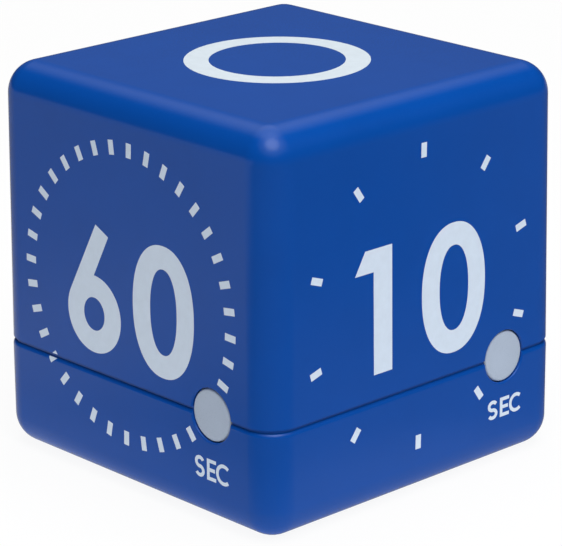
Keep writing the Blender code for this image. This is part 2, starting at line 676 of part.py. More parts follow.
def make_lamp(turns, material):
    """A domed lamp lying on the board, with two leads bent down into it."""
    dome = arc((0, LAMP_TIP - LAMP_RADIUS), LAMP_RADIUS, 90, 0, DOME_STEPS)
    profile = [(0, LAMP_TIP)] + dome[1:] + [
        (LAMP_RADIUS, LAMP_BACK + LAMP_FLANGE), (LAMP_FLANGE_RADIUS, LAMP_BACK + LAMP_FLANGE),
        (LAMP_FLANGE_RADIUS, LAMP_BACK), (0, LAMP_BACK)]
    lamp = turned("led_" + FACES[turns], profile, material, sides=LAMP_SIDES)
    x, y = quarter(LENS_OFFSET, 0, turns)
    stand(lamp, (x, y, SEAM_HEIGHT), (*quarter(0, -1, turns), 0), (0, 0, 1))
    runs, drops = bmesh.new(), bmesh.new()
    half = LEAD_WIDTH / 2
    for side in (-1, 1):
        lead_x = LENS_OFFSET + side * LEAD_PITCH / 2
        quarter_block(runs, (lead_x - half, -LAMP_BACK - LAMP_FLANGE / 2, SEAM_HEIGHT - half),
                      (lead_x + half, -LEAD_PLACE + half, SEAM_HEIGHT + half), turns)
        quarter_block(drops, (lead_x - half, -LEAD_PLACE - half, BOARD_BOTTOM + FIT),
                      (lead_x + half, -LEAD_PLACE + half, SEAM_HEIGHT), turns)
    join(lamp, "lead_runs_" + FACES[turns], runs)
    join(lamp, "lead_drops_" + FACES[turns], drops)
    return lamp


# Board and the works on it

def tilt_frame(name):
    """Where a tilt switch's plug starts, which way it points, and which side is down."""
    x, y = place_of(TILT_PLACE_SHARES[name])
    heading = TILT_HEADINGS.get(name)
    if heading is None:
        return Vector((x, y, BOARD_TOP + FIT)), Vector((0, 0, 1)), Vector((1, 0, 0))
    height = BOARD_TOP + FIT + can_radius()
    return Vector((x, y, height)), Vector((math.cos(heading), math.sin(heading), 0)), Vector((0, 0, -1))


def can_radius():
    return BALL_RADIUS + FIT + CAN_WALL


def tilt_pins(name):
    """The two points where a tilt switch's pins go into the board."""
    start, along, down = tilt_frame(name)
    side = along.cross(down)
    reach = PIN_REACH if name in TILT_HEADINGS else 0
    return [start - along * reach + side * sign * PIN_PITCH / 2 for sign in (-1, 1)]


def place_of(shares):
    return shares[0] * BOARD_HALF, shares[1] * BOARD_HALF


def make_board(material):
    form, notches, holes = bmesh.new(), bmesh.new(), bmesh.new()
    add_block(form, (-BOARD_HALF, -BOARD_HALF, BOARD_BOTTOM), (BOARD_HALF, BOARD_HALF, BOARD_TOP),
              BOARD_CORNER)
    board = make_piece(form, "circuit_board", material)
    for turns in range(len(FACES)):
        quarter_block(notches, (BOSS_OUT - BOARD_NOTCH, -BOARD_HALF - OVERRUN, BOARD_BOTTOM - OVERRUN),
                      (BOARD_HALF + OVERRUN, -BOSS_SIDE + BOARD_NOTCH, BOARD_TOP + OVERRUN), turns)
        for side in (-1, 1):
            x, y = quarter(LENS_OFFSET + side * LEAD_PITCH / 2, -LEAD_PLACE, turns)
            board_hole(holes, LEAD_HOLE_RADIUS, x, y)
    for name in TILT_PLACE_SHARES:
        for point in tilt_pins(name):
            board_hole(holes, PIN_HOLE_RADIUS, point.x, point.y)
    for x, y in board_posts():
        board_hole(holes, BOARD_SCREW_RADIUS + FIT, x, y)
    for side in (-1, 1):
        board_hole(holes, PIN_HOLE_RADIUS, BUZZER_X + side * BUZZER_PIN_PITCH / 2, FRONT_STRIP_Y)
    for y in (CELL_NEAR_Y, CELL_FAR_Y):
        half_x = CONTACT_THICKNESS / 2 + FIT
        half_y = TAIL_WIDTH / 2 + FIT
        add_block(holes, (-CONTACT_X - half_x, y - half_y, BOARD_BOTTOM - OVERRUN),
                  (-CONTACT_X + half_x, y + half_y, BOARD_TOP + OVERRUN))
    cut(board, "boss_notches", notches)
    cut(board, "board_holes", holes)
    return board


def board_hole(form, radius, x, y):
    upright(form, radius, x, y, BOARD_BOTTOM - OVERRUN, BOARD_TOP + OVERRUN, sides=SMALL_SIDES)


def make_chip(material):
    x, y = place_of(CHIP_PLACE_SHARES)
    half = CHIP_WIDTH / 2
    top = BOARD_TOP + FIT + CHIP_HEIGHT
    form, mark = bmesh.new(), bmesh.new()
    add_block(form, (x - half, y - half, BOARD_TOP + FIT), (x + half, y + half, top), CHIP_EDGE, steps=1)
    chip = make_piece(form, "timer_chip", material)
    inset = half - CHIP_MARK_RADIUS * 2
    upright(mark, CHIP_MARK_RADIUS, x - inset, y + inset, top - CHIP_MARK_DEPTH, top + OVERRUN,
            sides=SMALL_SIDES)
    cut(chip, "pin_one_mark", mark)
    return chip


def make_capacitor(material):
    x, y = place_of(CAPACITOR_PLACE_SHARES)
    bottom = BOARD_TOP + FIT
    top = bottom + CAPACITOR_HEIGHT
    groove = bottom + CAPACITOR_HEIGHT / 5
    profile = [(0, top), (CAPACITOR_RADIUS - CAPACITOR_EDGE, top), (CAPACITOR_RADIUS, top - CAPACITOR_EDGE),
               (CAPACITOR_RADIUS, groove + CAPACITOR_GROOVE), (CAPACITOR_RADIUS - CAPACITOR_GROOVE, groove),
               (CAPACITOR_RADIUS, groove - CAPACITOR_GROOVE), (CAPACITOR_RADIUS, bottom), (0, bottom)]
    return stand(turned("capacitor", profile, material), (x, y, 0))


def make_buzzer(material):
    """A round buzzer hanging under the board, its sound port facing down."""
    top = BAY_TOP
    bottom = top - BUZZER_HEIGHT
    profile = [(0, top), (BUZZER_RADIUS - CAPACITOR_EDGE, top), (BUZZER_RADIUS, top - CAPACITOR_EDGE),
               (BUZZER_RADIUS, bottom), (BUZZER_PORT_RADIUS, bottom),
               (BUZZER_PORT_RADIUS, bottom + BUZZER_PORT_DEPTH), (0, bottom + BUZZER_PORT_DEPTH)]
    buzzer = stand(turned("buzzer", profile, material), (BUZZER_X, FRONT_STRIP_Y, 0))
    pins = bmesh.new()
    for side in (-1, 1):
        upright(pins, PIN_RADIUS, BUZZER_X + side * BUZZER_PIN_PITCH / 2, FRONT_STRIP_Y,
                top - CAPACITOR_EDGE, BOARD_TOP, sides=PIN_SIDES)
    join(buzzer, "buzzer_pins", pins)
    return buzzer


def make_tilt_switch(name, can_material, plug_material, ball_material):
    """A can, the plug with its two pins that closes it, and the ball that rolls inside."""
    start, along, down = tilt_frame(name)
    inner = BALL_RADIUS + FIT
    outer = can_radius()
    can_bottom = PLUG_THICKNESS + FIT
    can_top = can_bottom + CAN_LENGTH
    profile = [(0, can_top), (outer - CAN_WALL, can_top), (outer, can_top - CAN_WALL), (outer, can_bottom),
               (inner, can_bottom), (inner, can_top - CAN_WALL), (0, can_top - CAN_WALL)]
    can = stand(turned("tilt_can_" + name, profile, can_material), start, along, down)

    spigot_top = PLUG_THICKNESS + FIT + SPIGOT_HEIGHT
    spigot = inner - FIT
    profile = [(0, spigot_top), (spigot, spigot_top), (spigot, PLUG_THICKNESS), (outer, PLUG_THICKNESS),
               (outer, 0), (0, 0)]
    plug = stand(turned("tilt_plug_" + name, profile, plug_material), start, along, down)
    pins = bmesh.new()
    lying = name in TILT_HEADINGS
    for point in tilt_pins(name):
        inside = point + along * (PLUG_THICKNESS / 2 + (PIN_REACH if lying else 0))
        low = Vector((point.x, point.y, BOARD_BOTTOM + FIT))
        bend = [point + along * PIN_BEND, point + along * PIN_BEND / 4 + down * PIN_BEND / 4,
                point + down * PIN_BEND] if lying else []
        add_wire(pins, PIN_RADIUS, [inside] + bend + [low])
    join(plug, "pins_" + name, pins)

    form = bmesh.new()
    bmesh.ops.create_uvsphere(form, u_segments=ROD_SIDES, v_segments=PIN_SIDES,
                              radius=BALL_RADIUS)
    ball = make_piece(form, "tilt_ball_" + name, ball_material)
    ball.location = start + along * (spigot_top + FIT + BALL_RADIUS)
    return can, plug, ball


# Power

def make_cell(name, y, nub_end, material):
    """A cell lying along X, with its nub towards one end of the bay."""
    body = CELL_LENGTH - NUB_LENGTH
    bare = CELL_RADIUS - JACKET_STEP
    profile = [(0, CELL_LENGTH), (NUB_RADIUS - JACKET_STEP, CELL_LENGTH),
               (NUB_RADIUS, CELL_LENGTH - JACKET_STEP), (NUB_RADIUS, body), (bare - CELL_EDGE, body),
               (bare, body - CELL_EDGE), (CELL_RADIUS, body - CELL_EDGE - JACKET_STEP),
               (CELL_RADIUS, CELL_EDGE), (bare - CELL_EDGE, 0), (0, 0)]
    cell = turned(name, profile, material, sides=FINE_SIDES)
    start = -nub_end * (BAY_HALF_LENGTH - 2 * FIT - CONTACT_THICKNESS - SPRING_LENGTH)
    return stand(cell, (start, y, CELL_HEIGHT), (nub_end, 0, 0), (0, 0, 1))


def spring_points(end, y):
    """A cone of wire from the contact plate towards the cell."""
    base_x = end * (CONTACT_X - CONTACT_THICKNESS / 2 + WIRE_RADIUS / 2)
    tip_x = end * (CONTACT_X - CONTACT_THICKNESS / 2 - SPRING_LENGTH + WIRE_RADIUS)
    count = SPRING_TURNS * SPRING_STEPS
    points = []
    for index in range(count + 1):
        share = index / count
        angle = math.tau * SPRING_TURNS * share
        radius = SPRING_WIDE_RADIUS + (SPRING_TIP_RADIUS - SPRING_WIDE_RADIUS) * share
        points.append(Vector((base_x + (tip_x - base_x) * share, y + radius * math.cos(angle),
                              CELL_HEIGHT + radius * math.sin(angle))))
    return points


def coil_gap(points):
    """The least gap between turns of a coil, wire to wire."""
    least = SPRING_LENGTH
    half_turn = SPRING_STEPS // 2
    for index, point in enumerate(points):
        for other in points[index + half_turn:]:
            least = min(least, (point - other).length - 2 * WIRE_RADIUS)
    return least


def contact_plate(form, end, low_y, high_y):
    """A flat contact standing at one end of the bay."""
    half = CONTACT_THICKNESS / 2
    bottom = CELL_HEIGHT - CONTACT_HEIGHT / 2
    add_block(form, (end * CONTACT_X - half, low_y, bottom),
              (end * CONTACT_X + half, high_y, bottom + CONTACT_HEIGHT), CONTACT_THICKNESS, axis="X")


def contact_tail(form, y):
    """The strip that runs up from a contact through the bay's roof into the board."""
    add_block(form, (-CONTACT_X - CONTACT_THICKNESS / 2, y - TAIL_WIDTH / 2, CELL_HEIGHT),
              (-CONTACT_X + CONTACT_THICKNESS / 2, y + TAIL_WIDTH / 2, BOARD_TOP))


def add_spring(target, end, y):
    points = spring_points(end, y)
    print("least gap between the turns of", target.name, round(coil_gap(points), 6))
    coil = bmesh.new()
    add_wire(coil, WIRE_RADIUS, points)
    join(target, target.name + "_coil", coil)


def make_contacts(material):
    half = CONTACT_WIDTH / 2
    form, tail = bmesh.new(), bmesh.new()
    contact_plate(form, -1, CELL_NEAR_Y - half, CELL_NEAR_Y + half)
    contact_tail(tail, CELL_NEAR_Y)
    negative = make_piece(form, "contact_negative", material)
    join(negative, "negative_tail", tail)
    add_spring(negative, -1, CELL_NEAR_Y)

    form, tail = bmesh.new(), bmesh.new()
    contact_plate(form, -1, CELL_FAR_Y - half, CELL_FAR_Y + half)
    contact_tail(tail, CELL_FAR_Y)
    positive = make_piece(form, "contact_positive", material)
    join(positive, "positive_tail", tail)
    dimple_contact(positive, -1, CELL_FAR_Y)

    form = bmesh.new()
    contact_plate(form, 1, CELL_NEAR_Y - half, CELL_FAR_Y + half)
    bridge = make_piece(form, "contact_bridge", material)
    add_spring(bridge, 1, CELL_FAR_Y)
    dimple_contact(bridge, 1, CELL_NEAR_Y)
    return negative, positive, bridge


def dimple_contact(target, end, y):
    """A pressed dimple in a contact, hollow on the side away from the cell's nub."""
    hollow = bmesh.new()
    back = end * (CONTACT_X + CONTACT_THICKNESS / 2 + OVERRUN)
    add_rod(hollow, DIMPLE_RADIUS, (back, y, CELL_HEIGHT), (end * CONTACT_X, y, CELL_HEIGHT),
            sides=SMALL_SIDES)
    cut(target, target.name + "_dimple", hollow)


# Battery door

def tab_places():
    return (BAY_CENTRE_Y - TAB_SPREAD / 2, BAY_CENTRE_Y + TAB_SPREAD / 2)


def tab_top():
    """The tabs stand half their thickness above the door's inner face."""
    return DOOR_TOP + TAB_THICKNESS / 2


def tab_swing():
    """How far the tip of a tab reaches from the door's turning axis."""
    return math.hypot(TAB_LENGTH, tab_top() - PIVOT_HEIGHT)


def make_door(material):
    form = bmesh.new()
    add_block(form, (-DOOR_HALF_LENGTH, BAY_CENTRE_Y - DOOR_HALF_WIDTH, DOOR_RECESS),
              (DOOR_HALF_LENGTH, BAY_CENTRE_Y + DOOR_HALF_WIDTH, DOOR_TOP), DOOR_CORNER)
    door = make_piece(form, "battery_door", material)
    set_origin(door, (PIVOT_X, BAY_CENTRE_Y, PIVOT_HEIGHT))

    tabs = bmesh.new()
    for y in tab_places():
        add_block(tabs, (PIVOT_X - TAB_LENGTH, y - TAB_WIDTH / 2, tab_top() - TAB_THICKNESS),
                  (PIVOT_X + TAB_LENGTH, y + TAB_WIDTH / 2, tab_top()))
    join(door, "door_tabs", tabs)

    slots = bmesh.new()
    start = DOOR_HALF_LENGTH - LATCH_LENGTH
    for side in (-1, 1):
        near, far = sorted((side * LATCH_WIDTH / 2, side * (LATCH_WIDTH / 2 + LATCH_SLOT)))
        add_block(slots, (start, BAY_CENTRE_Y + near, DOOR_RECESS - OVERRUN),
                  (DOOR_HALF_LENGTH + OVERRUN, BAY_CENTRE_Y + far, DOOR_TOP + OVERRUN))
    cut(door, "latch_slots", slots)

    grips = bmesh.new()
    half = GRIP_LENGTH / 2
    for index in range(GRIP_COUNT):
        x = DOOR_HALF_LENGTH - GRIP_PITCH * (index + 1)
        add_rod(grips, GRIP_RADIUS, (x, BAY_CENTRE_Y - half, DOOR_RECESS),
                (x, BAY_CENTRE_Y + half, DOOR_RECESS), sides=PIN_SIDES)
    cut(door, "grip_grooves", grips)

    rib = bmesh.new()
    half = DOOR_RIB_THICKNESS / 2
    add_block(rib, (-DOOR_HALF_LENGTH + LATCH_LENGTH, BAY_CENTRE_Y - half, DOOR_TOP - FIT),
              (start - LATCH_SLOT, BAY_CENTRE_Y + half, DOOR_TOP + DOOR_RIB_HEIGHT))
    join(door, "door_rib", rib)
    return door


# Display

def frame_low():
    return WALL + FIT


def frame_pocket_top():
    return frame_low() + 2 * GLASS_LAYER + FIT


def frame_ear_top():
    return frame_low() + FRAME_LID


def frame_half_length():
    return GLASS_LENGTH / 2 + FIT + FRAME_WALL


def stake_x():
    return frame_half_length() + FRAME_EAR_LENGTH / 2


def make_glass(material):
    form, ledge = bmesh.new(), bmesh.new()
    half_x, half_y = GLASS_LENGTH / 2, GLASS_WIDTH / 2
    bottom = frame_low()
    top = bottom + 2 * GLASS_LAYER
    add_block(form, (-half_x, DISPLAY_Y - half_y, bottom), (half_x, DISPLAY_Y + half_y, top))
    glass = make_piece(form, "lcd_glass", material)
    add_block(ledge, (-half_x - OVERRUN, DISPLAY_Y + half_y - GLASS_LEDGE, bottom + GLASS_LAYER),
              (half_x + OVERRUN, DISPLAY_Y + half_y + OVERRUN, top + OVERRUN))
    cut(glass, "contact_ledge", ledge)
    return glass


def make_window(material):
    form = bmesh.new()
    half_x, half_y = WINDOW_LENGTH / 2, WINDOW_WIDTH / 2
    add_block(form, (-half_x, DISPLAY_Y - half_y, WINDOW_RECESS),
              (half_x, DISPLAY_Y + half_y, WINDOW_RECESS + WINDOW_THICKNESS), WINDOW_CORNER)
    return make_piece(form, "display_window", material)


def flex_line():
    """The flex seen from its side, as (y, height) points from the glass up to the board."""
    foot = frame_low() + GLASS_LAYER + FIT
    top = BAY_TOP - FLEX_THICKNESS
    rise = DISPLAY_Y + GLASS_WIDTH / 2 - GLASS_LEDGE + FIT + FLEX_FOOT
    lower = arc((rise - FLEX_BEND, foot + FLEX_BEND), FLEX_BEND, -90, 0, CORNER_STEPS - 1)
    upper = arc((rise - FLEX_BEND, top - FLEX_BEND), FLEX_BEND, 0, 90, CORNER_STEPS - 1)
    return [(rise - FLEX_FOOT, foot)] + lower + upper + [(rise - FLEX_TOP, top)]


def make_flex(material):
    form = bmesh.new()
    half = FLEX_WIDTH / 2
    rows = [[form.verts.new((x, y, height)) for x in (half, -half)] for y, height in flex_line()]
    for first, second in zip(rows, rows[1:]):
        form.faces.new((first[0], first[1], second[1], second[0]))
    bmesh.ops.recalc_face_normals(form, faces=form.faces)
    flex = make_piece(form, "display_flex", material)
    sheet = flex.modifiers.new("sheet", "SOLIDIFY")
    sheet.thickness = FLEX_THICKNESS
    sheet.offset = 0
    return flex


def make_frame(material):
    form, ears, holes, pocket, sight = (bmesh.new() for _ in range(5))
    half_x = frame_half_length()
    half_y = GLASS_WIDTH / 2 + FIT + FRAME_WALL
    low = frame_low()
    pocket_top = frame_pocket_top()
    add_block(form, (-half_x, DISPLAY_Y - half_y, low), (half_x, DISPLAY_Y + half_y, pocket_top + FRAME_LID))
    frame = make_piece(form, "lcd_frame", material)
    add_block(ears, (-half_x - FRAME_EAR_LENGTH, DISPLAY_Y - FRAME_EAR_WIDTH / 2, low),
              (half_x + FRAME_EAR_LENGTH, DISPLAY_Y + FRAME_EAR_WIDTH / 2, frame_ear_top()))
    join(frame, "frame_ears", ears)
    add_block(pocket, (-GLASS_LENGTH / 2 - FIT, DISPLAY_Y - GLASS_WIDTH / 2 - FIT, low - OVERRUN),
              (GLASS_LENGTH / 2 + FIT, DISPLAY_Y + GLASS_WIDTH / 2 + FIT, pocket_top))
    cut(frame, "glass_pocket", pocket)
    sight_x = GLASS_LENGTH / 2 - FRAME_LID_MARGIN
    sight_back = DISPLAY_Y + GLASS_WIDTH / 2
    add_block(sight, (-sight_x, DISPLAY_Y - GLASS_WIDTH / 2 + FRAME_LID_MARGIN, low - OVERRUN),
              (sight_x, sight_back, pocket_top + FRAME_LID + OVERRUN))
    cut(frame, "frame_sight", sight)
    for x in (-stake_x(), stake_x()):
        upright(holes, STAKE_RADIUS + FIT, x, DISPLAY_Y, low - OVERRUN, frame_ear_top() + OVERRUN,
                sides=SMALL_SIDES)
    cut(frame, "stake_holes", holes)
    return frame


# Sound switch

def lever_bottom():
    return BAY_TOP - SWITCH_HEIGHT - FIT - LEVER_HEIGHT


def make_switch_body(material):
    form, space, slot = bmesh.new(), bmesh.new(), bmesh.new()
    bottom = BAY_TOP - SWITCH_HEIGHT
    half_x, half_y = SWITCH_LENGTH / 2, SWITCH_WIDTH / 2
    add_block(form, (SWITCH_X - half_x, FRONT_STRIP_Y - half_y, bottom),
              (SWITCH_X + half_x, FRONT_STRIP_Y + half_y, BAY_TOP))
    body = make_piece(form, "switch_body", material)
    inner_x = LEVER_HEAD_LENGTH / 2 + SWITCH_TRAVEL + FIT
    inner_y = LEVER_WIDTH / 2 + FIT
    add_block(space, (SWITCH_X - inner_x, FRONT_STRIP_Y - inner_y, bottom - OVERRUN),
              (SWITCH_X + inner_x, FRONT_STRIP_Y + inner_y, bottom + LEVER_HEAD_HEIGHT + 2 * FIT))
    cut(body, "lever_space", space)
    return body


def make_switch_lever(material):
    bottom = lever_bottom()
    head_bottom = BAY_TOP - SWITCH_HEIGHT + FIT
    stem, head = bmesh.new(), bmesh.new()
    half = LEVER_LENGTH / 2
    half_y = LEVER_WIDTH / 2
    add_block(stem, (SWITCH_X - half, FRONT_STRIP_Y - half_y, bottom),
              (SWITCH_X + half, FRONT_STRIP_Y + half_y, head_bottom + LEVER_HEAD_HEIGHT))
    lever = make_piece(stem, "switch_lever", material)
    set_origin(lever, (SWITCH_X, FRONT_STRIP_Y, bottom))
    half = LEVER_HEAD_LENGTH / 2
    add_block(head, (SWITCH_X - half, FRONT_STRIP_Y - half_y, head_bottom),
              (SWITCH_X + half, FRONT_STRIP_Y + half_y, head_bottom + LEVER_HEAD_HEIGHT))
    join(lever, "lever_head", head)
    return lever


def make_switch_cap(material):
    """The sliding cap: a plate over the slot, a thumb piece through it, and a fork over the lever."""
    plate, thumb, fork, gap, grooves = (bmesh.new() for _ in range(5))
    low = WALL + FIT
    half_x, half_y = CAP_LENGTH / 2, CAP_WIDTH / 2
    add_block(plate, (SWITCH_X - half_x, FRONT_STRIP_Y - half_y, low),
              (SWITCH_X + half_x, FRONT_STRIP_Y + half_y, low + CAP_THICKNESS))
    cap = make_piece(plate, "switch_cap", material)
    set_origin(cap, (SWITCH_X, FRONT_STRIP_Y, low))
    add_block(thumb, (SWITCH_X - THUMB_LENGTH / 2, FRONT_STRIP_Y - THUMB_WIDTH / 2, THUMB_SINK),
              (SWITCH_X + THUMB_LENGTH / 2, FRONT_STRIP_Y + THUMB_WIDTH / 2, low + CAP_THICKNESS / 2))
    join(cap, "thumb_piece", thumb)
    fork_top = lever_bottom() + FORK_GRIP
    add_block(fork, (SWITCH_X - FORK_LENGTH / 2, FRONT_STRIP_Y - FORK_WIDTH / 2, low + CAP_THICKNESS / 2),
              (SWITCH_X + FORK_LENGTH / 2, FRONT_STRIP_Y + FORK_WIDTH / 2, fork_top))
    join(cap, "fork", fork)
    add_block(gap, (SWITCH_X - LEVER_LENGTH / 2 - FIT, FRONT_STRIP_Y - FORK_WIDTH, lever_bottom() - FIT),
              (SWITCH_X + LEVER_LENGTH / 2 + FIT, FRONT_STRIP_Y + FORK_WIDTH, fork_top + OVERRUN))
    cut(cap, "fork_gap", gap)
    for side in (-1, 0, 1):
        x = SWITCH_X + side * THUMB_LENGTH / 3
        add_block(grooves, (x - THUMB_GROOVE / 2, FRONT_STRIP_Y - THUMB_WIDTH, THUMB_SINK - OVERRUN),
                  (x + THUMB_GROOVE / 2, FRONT_STRIP_Y + THUMB_WIDTH, THUMB_SINK + THUMB_GROOVE))
    cut(cap, "thumb_grooves", grooves)
    return cap


# Screws

def make_screw(name, x, y, head_face, point, head, shank, material):
    """A pan-head screw; head_face is where the head bears and point is where the shank ends."""
    head_radius, head_height = head
    up = 1 if head_face < point else -1
    length = abs(point - head_face)
    edge = HEAD_EDGE
    profile = [(0, head_height), (head_radius - edge, head_height), (head_radius, head_height - edge),
               (head_radius, 0), (shank, 0), (shank, -length + shank), (shank / 2, -length), (0, -length)]
    screw = turned(name, profile, material, sides=SMALL_SIDES)
    return stand(screw, (x, y, head_face), (0, 0, -up), (1, 0, 0))


def make_screws(material):
    for index, (x, y) in enumerate(boss_places()):
        bearing = WELL_DEPTH - FIT
        make_screw("case_screw_%d" % (index + 1), x, y, bearing, bearing + CASE_SCREW_LENGTH,
                   (CASE_HEAD_RADIUS, CASE_HEAD_HEIGHT), CASE_SCREW_RADIUS, material)
    for index, (x, y) in enumerate(board_posts()):
        bearing = BOARD_TOP + FIT
        make_screw("board_screw_%d" % (index + 1), x, y, bearing, bearing - BOARD_SCREW_LENGTH,
                   (BOARD_HEAD_RADIUS, BOARD_HEAD_HEIGHT), BOARD_SCREW_RADIUS, material)


def make_timer():
    blue = finish("blue_plastic", paint(20, 64, 150), 0.42)
    make_main_shell(blue)
    make_base_shell(finish("blue_base_plastic", paint(20, 64, 150), 0.42))
    lens_material = finish("milky_lens", paint(176, 188, 206), 0.30)
    lamp_material = finish("clear_lamp", paint(225, 232, 236), 0.12)
    for turns in range(len(FACES)):
        make_lens(turns, lens_material)
        make_lamp(turns, lamp_material)
    make_board(finish("green_board", paint(24, 92, 54), 0.45))
    make_chip(finish("chip_black", paint(26, 26, 28), 0.5))
    make_capacitor(finish("capacitor_sleeve", paint(30, 34, 60), 0.35))
    make_buzzer(finish("buzzer_black", paint(30, 30, 32), 0.4))
    can_material = finish("nickel_can", paint(196, 196, 190), 0.25, metallic=1)
    plug_material = finish("plug_black", paint(34, 34, 36), 0.5)
    ball_material = finish("bright_steel", paint(205, 206, 208), 0.12, metallic=1)
    for name in TILT_PLACE_SHARES:
        make_tilt_switch(name, can_material, plug_material, ball_material)
    make_cell("cell_a", CELL_NEAR_Y, 1, finish("cell_jacket", paint(44, 52, 58), 0.3))
    make_cell("cell_b", CELL_FAR_Y, -1, finish("cell_jacket_b", paint(44, 52, 58), 0.3))
    make_contacts(finish("nickel_contact", paint(200, 198, 190), 0.3, metallic=1))
    make_door(finish("blue_door_plastic", paint(20, 64, 150), 0.42))
    make_glass(finish("lcd_grey", paint(150, 160, 148), 0.15))
    make_window(finish("clear_window", paint(214, 222, 226), 0.05, alpha=0.35))
    make_frame(finish("frame_black", paint(32, 32, 34), 0.5))
    make_flex(finish("flex_amber", paint(176, 120, 40), 0.4))
    make_switch_body(finish("switch_steel", paint(150, 152, 155), 0.35, metallic=1))
    make_switch_lever(finish("lever_black", paint(24, 24, 26), 0.5))
    make_switch_cap(finish("cap_white", paint(214, 220, 228), 0.45))
    make_screws(finish("zinc_screw", paint(168, 170, 174), 0.35, metallic=1))


clear_scene()
PARTS = new_collection("cube_timer")
CUTTERS = new_collection("cutters")
make_timer()
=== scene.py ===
import math

import bmesh
import bpy
from mathutils import Matrix, Vector


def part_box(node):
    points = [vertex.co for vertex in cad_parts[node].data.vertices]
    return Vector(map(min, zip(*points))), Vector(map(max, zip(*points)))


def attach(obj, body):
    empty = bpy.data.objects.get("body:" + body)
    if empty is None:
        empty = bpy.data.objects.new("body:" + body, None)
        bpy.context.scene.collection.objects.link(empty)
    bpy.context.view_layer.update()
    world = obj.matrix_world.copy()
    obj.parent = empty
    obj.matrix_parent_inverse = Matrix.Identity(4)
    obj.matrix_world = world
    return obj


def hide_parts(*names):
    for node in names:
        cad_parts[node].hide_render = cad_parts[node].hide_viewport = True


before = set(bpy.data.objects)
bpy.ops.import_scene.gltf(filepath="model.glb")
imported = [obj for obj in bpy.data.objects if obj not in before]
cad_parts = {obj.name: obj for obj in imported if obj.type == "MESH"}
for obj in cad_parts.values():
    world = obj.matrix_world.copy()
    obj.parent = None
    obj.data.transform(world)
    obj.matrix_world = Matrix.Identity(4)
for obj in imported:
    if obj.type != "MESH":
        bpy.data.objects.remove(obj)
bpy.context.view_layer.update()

# The blue cube timer: a drafted upper housing on a base, a milky lens on the seam of each timed
# face, printed dials, and the works on a board behind them. Lengths are in metres; drawings and
# screws are laid out in millimetres.

MM = 0.001
FIT = 0.3 * MM                     # gap between pieces that meet
PAST = 1.0 * MM                    # how far a cut runs past what it opens
SAME = 0.0005 * MM                 # points nearer to each other than this are one
Z_AXIS = 2
FACES = ("front", "right", "back", "left")

WALL = 1.8 * MM
DRAFT = math.radians(0.5)          # lean of the upper housing's sides
CORNER = 4.9 * MM
CORNER_STEPS = 14
SKIRT_EDGE = 0.1 * MM              # rounding of the upper housing's rim
BASE_EDGE = 0.85 * MM              # rounding of the base's rim
MOUTH_EDGE = 0.28 * MM             # rounding where a lens hole meets the face
SEAM_GAP = 0.4 * MM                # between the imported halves
SHUT_GAP = 0.36 * MM               # what the fine housing leaves open between its two rims
LIP_DEPTH = 1.4 * MM               # how far the upper housing's lip reaches into the base
LIP_THICKNESS = 0.8 * MM
RIM_THICKNESS = 0.45 * MM          # what the lip's rebate leaves of the base's wall
LIP_FIT = 0.05 * MM
BOSS_RADIUS = 2.6 * MM             # of the bosses that the case screws hold together
BOSS_TOP = 26.95 * MM
CASE_PILOT = 1.45 * MM             # radii of the holes that the screws go into
BOARD_PILOT = 1.15 * MM
WELL_RADIUS = 2.5 * MM             # of the wells under the case screws' heads
WELL_OUTSIDE = 3.5 * MM
WELL_DEPTH = 10 * MM
POST_RADIUS = 2.1 * MM             # of the board's posts
RIB_HALF = 0.6 * MM                # half the thickness of the ribs beside the bosses
BAY_WALL = 1.5 * MM
BAY_ROOF = 0.9 * MM
PIVOT_INSET = 0.9 * MM             # from the tabs' tips to the edge of the door's plate
TAB_SPACING = 7.5 * MM             # of the door's tabs from its middle
TAB_HALF = 2.5 * MM
WINDOW_LEDGE = 1.3 * MM
FLANGE = 0.8 * MM                  # thickness of the flange behind a lens
LEAD_REACH = 1.27 * MM             # of a lamp's two leads from its middle
CAN_END = 0.3 * MM                 # thickness of a tilt switch's closed end

INK_PROUD = 0.02 * MM              # print over plastic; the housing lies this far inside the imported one
INK_DEPTH = 0.05 * MM
TICK_LENGTH, TICK_WIDTH = 2.18 * MM, 1.08 * MM
TICK_REACH, DRAWN_IN_REACH = 22.03 * MM, 21.6 * MM
FIGURE_STROKE = 3.65               # of the 2 and the 3, in millimetres like all that is drawn
WORD_STROKE = 0.55
NOUGHT_FULLNESS = 2.2


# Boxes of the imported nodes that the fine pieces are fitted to

def middle(name):
    """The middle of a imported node's box."""
    low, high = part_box(name)
    return (low + high) / 2


def centred(name, height):
    """A place at a height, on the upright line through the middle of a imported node's box."""
    low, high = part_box(name)
    return Matrix.Translation(((low.x + high.x) / 2, (low.y + high.y) / 2, height))


SHELL_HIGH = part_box("main_shell")[1]
BASE_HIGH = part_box("base_shell")[1]
BASE_RIM = BASE_HIGH.z
UPPER_RIM = BASE_RIM + SEAM_GAP
SKIRT = BASE_RIM + SHUT_GAP
SEAM = BASE_RIM + SEAM_GAP / 2
TOP = SHELL_HIGH.z
UPPER_HALF = SHELL_HIGH.x + 0.1 * MM    # the photo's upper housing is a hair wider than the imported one
BASE_HALF = BASE_HIGH.x
TOP_HALF = UPPER_HALF - (TOP - UPPER_RIM) * math.tan(DRAFT)
LIP_HALF = BASE_HALF - RIM_THICKNESS - LIP_FIT
LENS_OFFSET = middle("led_lens_front").x
LENS_HEIGHT = SEAM - 0.08 * MM
LENS_RADIUS = 3.92 * MM
LENS_SEAT = 4.05 * MM              # radius of the hole round a lens
DIAL_HEIGHT = 30.48 * MM           # of the dials' centre above the underside

